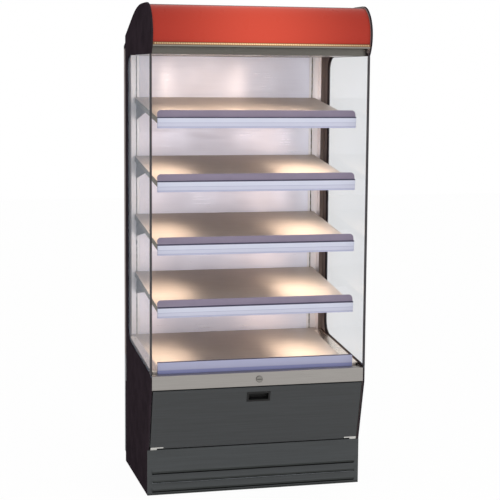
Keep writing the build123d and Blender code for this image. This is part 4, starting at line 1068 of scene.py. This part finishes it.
@dataclass
class Shelf(SubAssembly):
    """One heated shelf: pan, lip, label rail, brackets and two lamps."""

    # The lip's bands by height: painted shadow at its foot and above the bluer band, then the lip
    LIP_BANDS: ClassVar[list[tuple[float, Finish]]] = [
        (0.0, RAIL_PAINTED_SHADOW),
        (0.08, LIP_BAND),
        (0.22, RAIL_PAINTED_SHADOW),
        (0.28, LIP),
    ]
    # The rail's bands by height: painted shade at its foot, painted shade lines, the plain rail, painted
    # light at its head and painted shadow on its top edge
    RAIL_BANDS: ClassVar[list[tuple[float, Finish]]] = [
        (0.0, RAIL_FOOT_SHADED),
        (0.12, RAIL_SHADE_LINE),
        (0.15, LABEL_RAIL),
        (0.46, RAIL_SHADE_LINE),
        (0.49, RAIL_HEAD_LIT),
        (0.89, RAIL_PAINTED_SHADOW),
    ]

    level: int
    lamp_power: float = 0.5
    left_share: float = 0.7
    lamp_half: float = 32.0 * MM
    lens_drop: float = 6.2 * MM
    beam_drop: float = 6.0 * MM
    beam_back: float = 60.0 * MM
    beam_size: float = 260.0 * MM

    def build(self) -> None:
        """Builds and dresses the shelf's pieces."""
        name = f"shelf_{self.level}"
        pan = self.case.soften(f"{name}_pan", SHELF_STEEL, edge_mm=0.5)
        # Painted shade on the pan's end flanges
        self.case.paint(pan, SHELF_FLANGE_SHADED, end_face)
        lip = self.case.soften(f"{name}_lip", LIP, edge_mm=0.5)
        # Painted shadow lines on the lip
        self.case.bands(lip, self.LIP_BANDS)
        rail = self.case.soften(f"{name}_rail", LABEL_RAIL, edge_mm=0.8)
        # Painted light and shade on the label rail
        self.case.bands(rail, self.RAIL_BANDS)
        self.case.soften(f"{name}_brackets", BRACKET, edge_mm=0.4)
        self.case.keep(f"{name}_lamps", LAMP_BODY)
        self.lamps(name)

    def lamps(self, name: str) -> None:
        """Adds a lit lens and its light under each of the shelf's two lamps, the left one weaker.

        Args:
            name: The shelf's name.
        """
        low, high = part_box(f"{name}_lamps")
        down = Vector((0, math.sin(SHELF_TILT), -math.cos(SHELF_TILT)))
        middle = (low + high) / 2
        outer = (high.x - low.x) / 2 - self.lamp_half
        for side, word in SIDES:
            centre = Vector((side * outer, middle.y, middle.z)) + down * self.lens_drop
            lit_lens(self.case, f"{name}_lens_{word}", centre, down, WARM_LENS, name)
            light = centre + down * self.beam_drop + Vector((0, self.beam_back, 0))
            power = self.lamp_power * (self.left_share if side < 0 else 1.0)
            warm_light(f"{name}_light_{word}", light, down, power, self.beam_size, name)


@dataclass
class Canopy(SubAssembly):
    """The hood: red sign, lit strip, sill, front rail, ceiling, cover, tube and three lamps."""

    sign_edge: float = 2.5 * MM
    dome_radius: float = 3.6 * MM
    dome_crown: float = 1.6 * MM
    dome_pitch: float = 9.5 * MM
    dome_inset: float = 0.6 * MM
    row_end: float = 6.0 * MM
    lamp_half: float = 35.0 * MM
    lens_rise: float = 4.3 * MM
    lamp_size: float = 30.0 * MM
    lamp_drop: float = 2.0 * MM
    lamp_power: float = 0.2
    wash_power: float = 0.26
    wash_left: float = -185.0 * MM
    wash_right: float = 165.0 * MM
    fill_size: float = 420.0 * MM
    fill_drop: float = 3.0 * MM
    fill_power: float = 0.55
    half_turn: float = 180.0

    def build(self) -> None:
        """Builds and dresses the hood."""
        sign = self.case.soften("hood_sign", SIGN, edge_mm=0.6)
        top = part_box("hood_sign")[1].z
        # The sign's top 2.5 mm is darkened, without the glow
        self.case.paint(sign, SIGN_EDGE, lambda centre, normal: centre.z > top - self.sign_edge)
        self.case.soften("sign_light_strip", STRIP, edge_mm=0.4)
        self.case.soften("hood_sill", HOOD_SILL, edge_mm=0.4)
        self.case.soften("hood_front_rail", HOOD_RAIL, edge_mm=0.4)
        self.case.soften("canopy_ceiling", CEILING, edge_mm=0.3)
        self.case.soften("hood_cover", COVER, edge_mm=0.5)
        self.case.keep("sign_tube", TUBE)
        self.case.keep("canopy_lamps", CEILING)
        self.domes()
        self.lamps()

    def lamps(self) -> None:
        """Adds the lenses and lights of the three lamps, and their soft light on the wall."""
        low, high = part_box("canopy_lamps")
        middle = (low.y + high.y) / 2
        outer = (high.x - low.x) / 2 - self.lamp_half
        for word, x in (("left", -outer), ("middle", 0.0), ("right", outer)):
            centre = Vector((x, middle, low.z + self.lens_rise))
            lit_lens(self.case, f"canopy_lens_{word}", centre, DOWN, CANOPY_LENS, "cabinet")
            light = Vector((x, middle, low.z - self.lamp_drop))
            warm_light(f"canopy_light_{word}", light, DOWN, self.lamp_power, self.lamp_size, "cabinet")
        fill = Vector((0, middle, low.z - self.fill_drop))
        whole = ("cabinet", self.half_turn)
        warm_light("canopy_fill", fill, DOWN, self.fill_power, self.fill_size, *whole)
        for word, x in (("left", self.wash_left), ("right", self.wash_right)):
            light = Vector((x, middle, low.z - self.lamp_drop))
            warm_light(f"canopy_wash_{word}", light, DOWN, self.wash_power, self.lamp_size, *whole)

    def domes(self) -> None:
        """Adds the row of small lit domes on the face of the strip."""
        low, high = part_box("sign_light_strip")
        middle = (low.z + high.z) / 2
        parts = []
        half = high.x - self.dome_radius - self.row_end
        count = int(2 * half / self.dome_pitch)
        shape = (-REARWARD, self.dome_radius, self.dome_crown, DOME_STEPS, DOME_RINGS)
        for i in range(count + 1):
            centre = Vector((-half + i * 2 * half / count, low.y + self.dome_inset, middle))
            parts.append(disc(f"dome_{i}", centre, *shape))
        row = join("sign_strip_domes", parts)
        dress(row, BEADS)
        self.case.add(row, "cabinet", self.case.slot_of("sign_light_strip"))


@dataclass
class Cabinet(SubAssembly):
    """The fixed shell: end panels, glazing, back wall, uprights, posts and rear sheets."""

    trim_setback: float = 30.0 * MM
    trim_depth: float = 11.0 * MM
    seam: float = 28.5 * MM
    shadow_line_width: float = 3.0 * MM
    post_facing: float = 0.45
    edge_facing: ClassVar[tuple[float, float]] = (-0.95, -0.3)
    bounce_power: float = 0.07
    bounce_drop: float = 60.0 * MM
    bounce_width: float = 760.0 * MM
    bounce_height: float = 100.0 * MM
    bounce_spread: float = 100.0
    bounce_colour: str = "#f8f1f3"

    def build(self) -> None:
        """Dresses the shell."""
        least, most = self.edge_facing
        for _, word in SIDES:
            panel = self.case.soften(f"side_panel_{word}", END_PANEL, edge_mm=1.6)
            # Painted highlight on each panel's rounded edge, where the light grazes it
            self.case.paint(
                panel, PANEL_EDGE_HIGHLIGHT, lambda centre, normal: least < inward(centre, normal) < most
            )
            # Painted light from the shelves on each panel's inner face
            self.case.paint(panel, PANEL_INSIDE_LIT, lambda centre, normal: inward(centre, normal) > FACING)
        trims = self.case.soften("glass_edge_trims", EDGE_TRIM, edge_mm=0.4)
        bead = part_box("side_panel_left")[0].y + self.trim_setback + self.trim_depth
        self.case.paint(trims, GLASS_BEAD, lambda centre, normal: centre.y > bead)
        self.case.keep("side_glass", GLAZING)
        self.case.soften("back_wall", LINER, edge_mm=0.4)
        # Painted shadow line along each upright's slots
        self.slot_shadow_lines(self.case.soften("uprights", UPRIGHT, edge_mm=0.4))
        posts = self.case.soften("rear_posts", POST, edge_mm=0.5)
        self.case.paint(posts, UPRIGHT, lambda centre, normal: inward(centre, normal) > self.post_facing)
        self.case.soften("rear_panel", REAR_SHEET, edge_mm=0.4)
        self.case.keep("insulation_board", WOOL)
        self.case.soften("panel_screws", ZINC, edge_mm=0.6)
        self.bounce()

    def slot_shadow_lines(self, uprights: Item) -> None:
        """Paints a narrow shadow line along the strip that the slots of each upright stand in.

        Args:
            uprights: The uprights.
        """
        width = 2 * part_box("uprights")[1].x
        near = 0.5 - (self.seam + self.shadow_line_width) / width
        far = 0.5 - self.seam / width
        left = [(0.0, UPRIGHT), (0.5 - far, SLOT_SHADOW_LINE), (0.5 - near, UPRIGHT)]
        self.case.bands(uprights, left + [(0.5 + near, SLOT_SHADOW_LINE), (0.5 + far, UPRIGHT)], axis=0)

    def bounce(self) -> None:
        """Throws the light that each shelf's underside gives back onto the wall behind it."""
        for level in SHELVES:
            low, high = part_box(f"shelf_{level}_pan")
            place = Vector((0.0, (low.y + high.y) / 2, low.z - self.bounce_drop))
            beam = (REARWARD, self.bounce_power, self.bounce_width, "cabinet", self.bounce_spread)
            warm_light(f"wall_bounce_{level}", place, *beam, self.bounce_height, self.bounce_colour)


@dataclass
class Deck(SubAssembly):
    """The bottom deck, its label rail and the ledges along its sides."""

    crease_front: float = 397.0 * MM
    crease_rear: float = 411.0 * MM
    ledge_edge: float = 446.2 * MM
    seal_edge: float = 440.5 * MM
    seal_start: float = 0.6 * MM
    deck_front: float = -272.0 * MM
    deck_height: float = 523.0 * MM
    ledge_start: float = 2.0 * MM
    ledge_depth: float = 528.0 * MM
    ledge_foot: float = 0.2 * MM
    crease_rise: float = 0.9 * MM
    seal_rise: float = 5.6 * MM
    edge_rise: float = 6.4 * MM
    # The deck rail's bands by height: painted shade, a painted shade line, the shaded head and painted
    # shadow on its top edge
    RAIL_BANDS: ClassVar[list[tuple[float, Finish]]] = [
        (0.0, RAIL_FOOT_SHADED),
        (0.09, DECK_RAIL_DEEP_SHADE),
        (0.40, RAIL_SHADE_LINE),
        (0.45, DECK_RAIL_SHADED),
        (0.96, RAIL_PAINTED_SHADOW),
    ]

    def build(self) -> None:
        """Dresses the deck."""
        self.case.soften("deck_pan", SHELF_STEEL, edge_mm=0.5)
        # The deck rail, with painted shade, and painted shadow on its ends
        rail = self.case.soften("deck_rail", DECK_RAIL_SHADED, edge_mm=0.8)
        self.case.bands(rail, self.RAIL_BANDS)
        # Painted shadow on the deck rail's ends
        self.case.paint(rail, RAIL_PAINTED_SHADOW, end_face)
        self.ledges()

    def ledges(self) -> None:
        """Adds the sloping ledge along each side of the deck, from its surface up to the sill."""
        rise = math.tan(DECK_TILT)
        seal = self.seal_edge + self.seal_start
        for side, word in SIDES:
            sections = []
            for along, crease in ((0.0, self.crease_front), (self.ledge_depth, self.crease_rear)):
                y = self.deck_front + self.ledge_start + along
                top = self.deck_height + (y - self.deck_front) * rise
                corners = (
                    (crease, self.ledge_foot),
                    (crease, self.crease_rise),
                    (self.seal_edge, self.seal_rise),
                    (self.ledge_edge, self.edge_rise),
                    (self.ledge_edge, self.ledge_foot),
                )
                sections.append([(side * x, y, top + up) for x, up in corners])
            ledge = prism(f"deck_ledge_{word}", sections)
            break_edges(ledge, edge_mm=0.3)
            dress(ledge, LEDGE_STEEL)
            # Painted shade on the seal in the gap at the end panel
            self.case.paint(ledge, SILL_SEAL_SHADE, lambda centre, normal: abs(centre.x) > seal)
            self.case.add(ledge, "cabinet", self.case.slot_of("deck_pan"))


@dataclass
class Base(SubAssembly):
    """The base: fascia, latch, flap, kick plate and what stands behind them."""

    LOUVRE_LIPS: ClassVar[tuple[float, ...]] = (20.0 * MM, 57.5 * MM, 95.0 * MM)
    FLAP_RUN: ClassVar[float] = 66.0 * MM
    FLAP_TOP: ClassVar[float] = 458.0 * MM
    FLAP_FOOT: ClassVar[float] = 195.0 * MM

    slot_near: float = 0.6 * MM
    slot_far: float = 4.0 * MM
    foot_shade: float = 8.0 * MM
    lip_shade: float = 3.0 * MM
    slope_shade: float = 9.0 * MM
    louvre_proud: float = 5.6 * MM
    louvre_end: float = 25.0 * MM
    louvre_slot: float = 4.4 * MM
    slot_upward: float = 0.2
    lip_fit: float = 0.4 * MM
    mat_depth: float = 13.0 * MM
    mat_end: float = 14.0 * MM
    mat_foot: float = 10.0 * MM
    mat_top: float = 128.0 * MM
    mat_thickness: float = 4.0 * MM
    leaf_inner: float = 388.5 * MM
    leaf_outer: float = 441.5 * MM
    leaf_foot: float = 3.4 * MM
    leaf_top: float = 8.2 * MM
    leaf_face: float = 0.95 * MM
    leaf_back: float = 0.05 * MM

    def build(self) -> None:
        """Dresses the base."""
        self.case.soften("fascia", FASCIA, edge_mm=0.5)
        latch = self.case.soften("latch_knob", LATCH, edge_mm=0.4)
        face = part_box("latch_knob")[0].y
        # Painted shade in the latch head's slot
        self.case.paint(
            latch, LATCH_SLOT_SHADE, lambda centre, normal: self.slot_near < centre.y - face < self.slot_far
        )
        self.case.soften("service_flap", FLAP_PAINT, edge_mm=0.5)
        self.case.soften("flap_handle_cup", BLACK_ABS, edge_mm=0.6)
        kick = self.case.soften("kick_plate", KICK_PAINT, edge_mm=0.5)
        self.louvres(kick)
        self.case.soften("hinge_brackets", ZINC, edge_mm=0.3)
        self.case.soften("flap_keeper", ZINC, edge_mm=0.3)
        self.case.soften("temperature_dial", BLACK_ABS, edge_mm=0.4)
        self.case.soften("rocker_switch", BLACK_ABS, edge_mm=0.4)
        for node in ("chassis_frame", "base_floor", "control_panel", "electrical_box", "blower_housing"):
            self.case.soften(node, ZINC_SHEET, edge_mm=0.4)
        self.case.soften("base_rear_cover", REAR_SHEET, edge_mm=0.4)
        self.case.soften("mains_inlet", BLACK_ABS, edge_mm=0.3)
        self.case.soften("fan_motor", MOTOR, edge_mm=0.6)
        self.case.soften("levelling_feet", RUBBER, edge_mm=0.6)
        self.case.keep("blower_wheel", ZINC)
        self.case.keep("heater_elements", ZINC)
        self.filter_mat()
        self.hinge_leaves()

    def louvres(self, kick: Item) -> None:
        """Paints shade on each louvre toward its lip, where the plate's own shadow falls, and along the
        plate's foot.

        Args:
            kick: The kick plate.
        """
        low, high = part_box("kick_plate")
        tall = high.z - low.z
        # Painted shade along the plate's foot, then a band at each louvre for its painted shade and
        # shadow
        levels = [(0.0, KICK_PAINTED_SHADE), (self.foot_shade / tall, KICK_PAINT)]
        for lip in self.LOUVRE_LIPS:
            for rise in (0.0, self.lip_shade, self.slope_shade):
                levels.append(((lip + rise - low.z) / tall, KICK_PAINT))
        self.case.bands(kick, levels)

        def above_lip(centre: Vector) -> float:
            """Measures how far a face of a louvre is above the lip under it.

            Args:
                centre: The face's centre.

            Returns:
                The height in metres, or 1 for a face that isn't on a louvre.
            """
            if centre.y > low.y + self.louvre_proud or abs(centre.x) > high.x - self.louvre_end:
                return 1.0
            heights = [centre.z - lip for lip in self.LOUVRE_LIPS]
            return min([height for height in heights if height > -self.lip_fit] or [1.0])

        def in_slot(centre: Vector) -> bool:
            """Says whether a face is on the edge of the slot behind a louvre."""
            inside = abs(centre.x) < high.x - self.louvre_end
            return inside and any(-self.louvre_slot < centre.z - lip < 0.0 for lip in self.LOUVRE_LIPS)

        # Painted shade on each louvre's slope, toward its lip
        self.case.paint(kick, KICK_PAINTED_SHADE, lambda centre, normal: above_lip(centre) < self.slope_shade)
        # Painted shadow under each louvre's lip
        self.case.paint(kick, KICK_PAINTED_SHADOW, lambda centre, normal: above_lip(centre) < self.lip_shade)
        # Painted shadow on the slot edges that face up to the light
        self.case.paint(
            kick, KICK_PAINTED_SHADOW, lambda centre, normal: normal.z > self.slot_upward and in_slot(centre)
        )

    def filter_mat(self) -> None:
        """Adds the foam mat that the kick plate's louvres draw air through."""
        low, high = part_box("kick_plate")
        end = high.x - self.mat_end
        front = low.y + self.mat_depth
        back = front + self.mat_thickness
        foot, top = self.mat_foot, self.mat_top
        outline = ((front, foot), (front, top), (back, top), (back, foot))
        mat = prism("kick_filter_mat", [[(x, y, z) for y, z in outline] for x in (-end, end)])
        break_edges(mat, edge_mm=0.8)
        dress(mat, FILTER_FOAM)
        self.case.add(mat, "cabinet", self.case.slot_of("levelling_feet"))

    def hinge_leaves(self) -> None:
        """Adds the bright leaf that each hinge shows along the flap's lower edge."""
        low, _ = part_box("service_flap")
        lean = self.FLAP_RUN / (self.FLAP_TOP - self.FLAP_FOOT)
        outline = []
        for proud, rises in (
            (self.leaf_face, (self.leaf_foot, self.leaf_top)),
            (self.leaf_back, (self.leaf_top, self.leaf_foot)),
        ):
            for rise in rises:
                z = low.z + rise
                outline.append((FASCIA_FRONT + (self.FLAP_TOP - z) * lean - proud, z))
        for side, word in SIDES:
            ends = (side * self.leaf_inner, side * self.leaf_outer)
            leaf = prism(f"flap_hinge_leaf_{word}", [[(x, y, z) for y, z in outline] for x in ends])
            break_edges(leaf, edge_mm=0.25)
            dress(leaf, ZINC)
            self.case.add(leaf, "service_flap", self.case.slot_of("hinge_brackets"))


@dataclass
class Studio:
    """Camera, floor, world and lamps: plain, pale and soft."""

    camera_place: tuple[float, float, float] = (-1.4526, -5.8855, 1.7213)
    yaw: float = 0.2483
    pitch: float = 0.1214
    roll: float = 0.0076
    lens_mm: float = 102.55
    world_level: float = 0.7
    floor_half: float = 14.0
    floor_lift: float = 0.97
    softbox_size: float = 2.4
    aim_height: float = 1.0

    def camera(self) -> None:
        """Places the camera at the photograph's viewing angle."""
        level = math.cos(self.pitch)
        forward = Vector((math.sin(self.yaw) * level, math.cos(self.yaw) * level, -math.sin(self.pitch)))
        right = Vector((math.cos(self.yaw), -math.sin(self.yaw), 0.0))
        up = right.cross(forward)
        tilted_right = right * math.cos(self.roll) + up * math.sin(self.roll)
        tilted_up = up * math.cos(self.roll) - right * math.sin(self.roll)
        data = bpy.data.cameras.new("camera")
        data.sensor_width = 36.0
        data.lens = self.lens_mm
        data.clip_end = 100.0
        eye = new_object("camera", data)
        turn = Matrix((tilted_right, tilted_up, -forward)).transposed().to_4x4()
        eye.matrix_world = Matrix.Translation(Vector(self.camera_place)) @ turn
        bpy.context.scene.camera = eye

    def world(self) -> None:
        """Lights the scene evenly and shows white behind it."""
        world = bpy.data.worlds.new("studio")
        bpy.context.scene.world = world
        world.use_nodes = True
        tree = world.node_tree
        tree.nodes.clear()
        plain = add_node(
            tree, "ShaderNodeBackground", {"Color": linear("#fbfaf8"), "Strength": self.world_level}
        )
        white = add_node(tree, "ShaderNodeBackground", {"Color": linear("#ffffff"), "Strength": 1.0})
        shares = {"Fac": self.seen(tree), 1: plain.outputs[0], 2: white.outputs[0]}
        mix = add_node(tree, "ShaderNodeMixShader", None, shares)
        add_node(tree, "ShaderNodeOutputWorld", None, {"Surface": mix.outputs[0]})

    def seen(self, tree: Tree) -> Socket:
        """One for camera, glossy and transmission rays.

        Args:
            tree: The node tree.

        Returns:
            The socket with the value.
        """
        path = add_node(tree, "ShaderNodeLightPath").outputs
        either = {"operation": "MAXIMUM"}
        rays = {0: path["Is Camera Ray"], 1: path["Is Glossy Ray"]}
        looked = add_node(tree, "ShaderNodeMath", either, rays)
        rays = {0: looked.outputs[0], 1: path["Is Transmission Ray"]}
        return add_node(tree, "ShaderNodeMath", either, rays).outputs[0]

    def floor(self) -> None:
        """Lays a pale floor that looks nearly white and keeps the shadow."""
        mesh = bpy.data.meshes.new("studio_floor")
        half = self.floor_half
        corners = [(-half, -half, 0), (half, -half, 0), (half, half, 0), (-half, half, 0)]
        mesh.from_pydata(corners, [], [(0, 1, 2, 3)])
        ground = new_object("studio_floor", mesh)
        made = bpy.data.materials.new("pale_studio_floor")
        made.use_nodes = True
        tree = made.node_tree
        shader = tree.nodes["Principled BSDF"]
        shader.inputs["Base Color"].default_value = linear("#fbfbfa")
        shader.inputs["Roughness"].default_value = 0.7
        level = {"operation": "MULTIPLY", 1: self.floor_lift}
        lift = add_node(tree, "ShaderNodeMath", level, {0: self.seen(tree)})
        glow = add_node(tree, "ShaderNodeEmission", {"Color": linear("#ffffff"), "Strength": 1.0})
        shares = {"Fac": lift.outputs[0], 1: shader.outputs[0], 2: glow.outputs[0]}
        mix = add_node(tree, "ShaderNodeMixShader", None, shares)
        tree.links.new(mix.outputs[0], tree.nodes["Material Output"].inputs["Surface"])
        ground.data.materials.append(made)

    def softbox(self, name: str, place: tuple[float, float, float], power: float) -> None:
        """Hangs one large soft lamp of some watts that faces the case."""
        aim = Vector((0.0, 0.0, self.aim_height)) - Vector(place)
        area_light(name, Vector(place), aim, power, self.softbox_size)

    def build(self) -> None:
        """Sets up the camera, the world, the floor and the lamps."""
        bpy.context.scene.view_settings.view_transform = "Standard"
        self.camera()
        self.world()
        self.floor()
        self.softbox("key_softbox", (-2.2, -4.6, 3.2), power=60.0)
        self.softbox("fill_softbox", (3.4, -3.2, 2.2), power=30.0)


def main() -> None:
    """Builds the sub-assemblies in order and logs how many pieces were made."""
    logging.basicConfig(level=logging.INFO, format="%(message)s")
    case = Case(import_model())
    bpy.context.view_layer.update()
    Studio().build()
    Cabinet(case).build()
    Canopy(case).build()
    for level in SHELVES:
        Shelf(case, level).build()
    Deck(case).build()
    Base(case).build()
    LOG.info("%d pieces made", len(case.pieces))


if __name__ == "__main__":
    main()
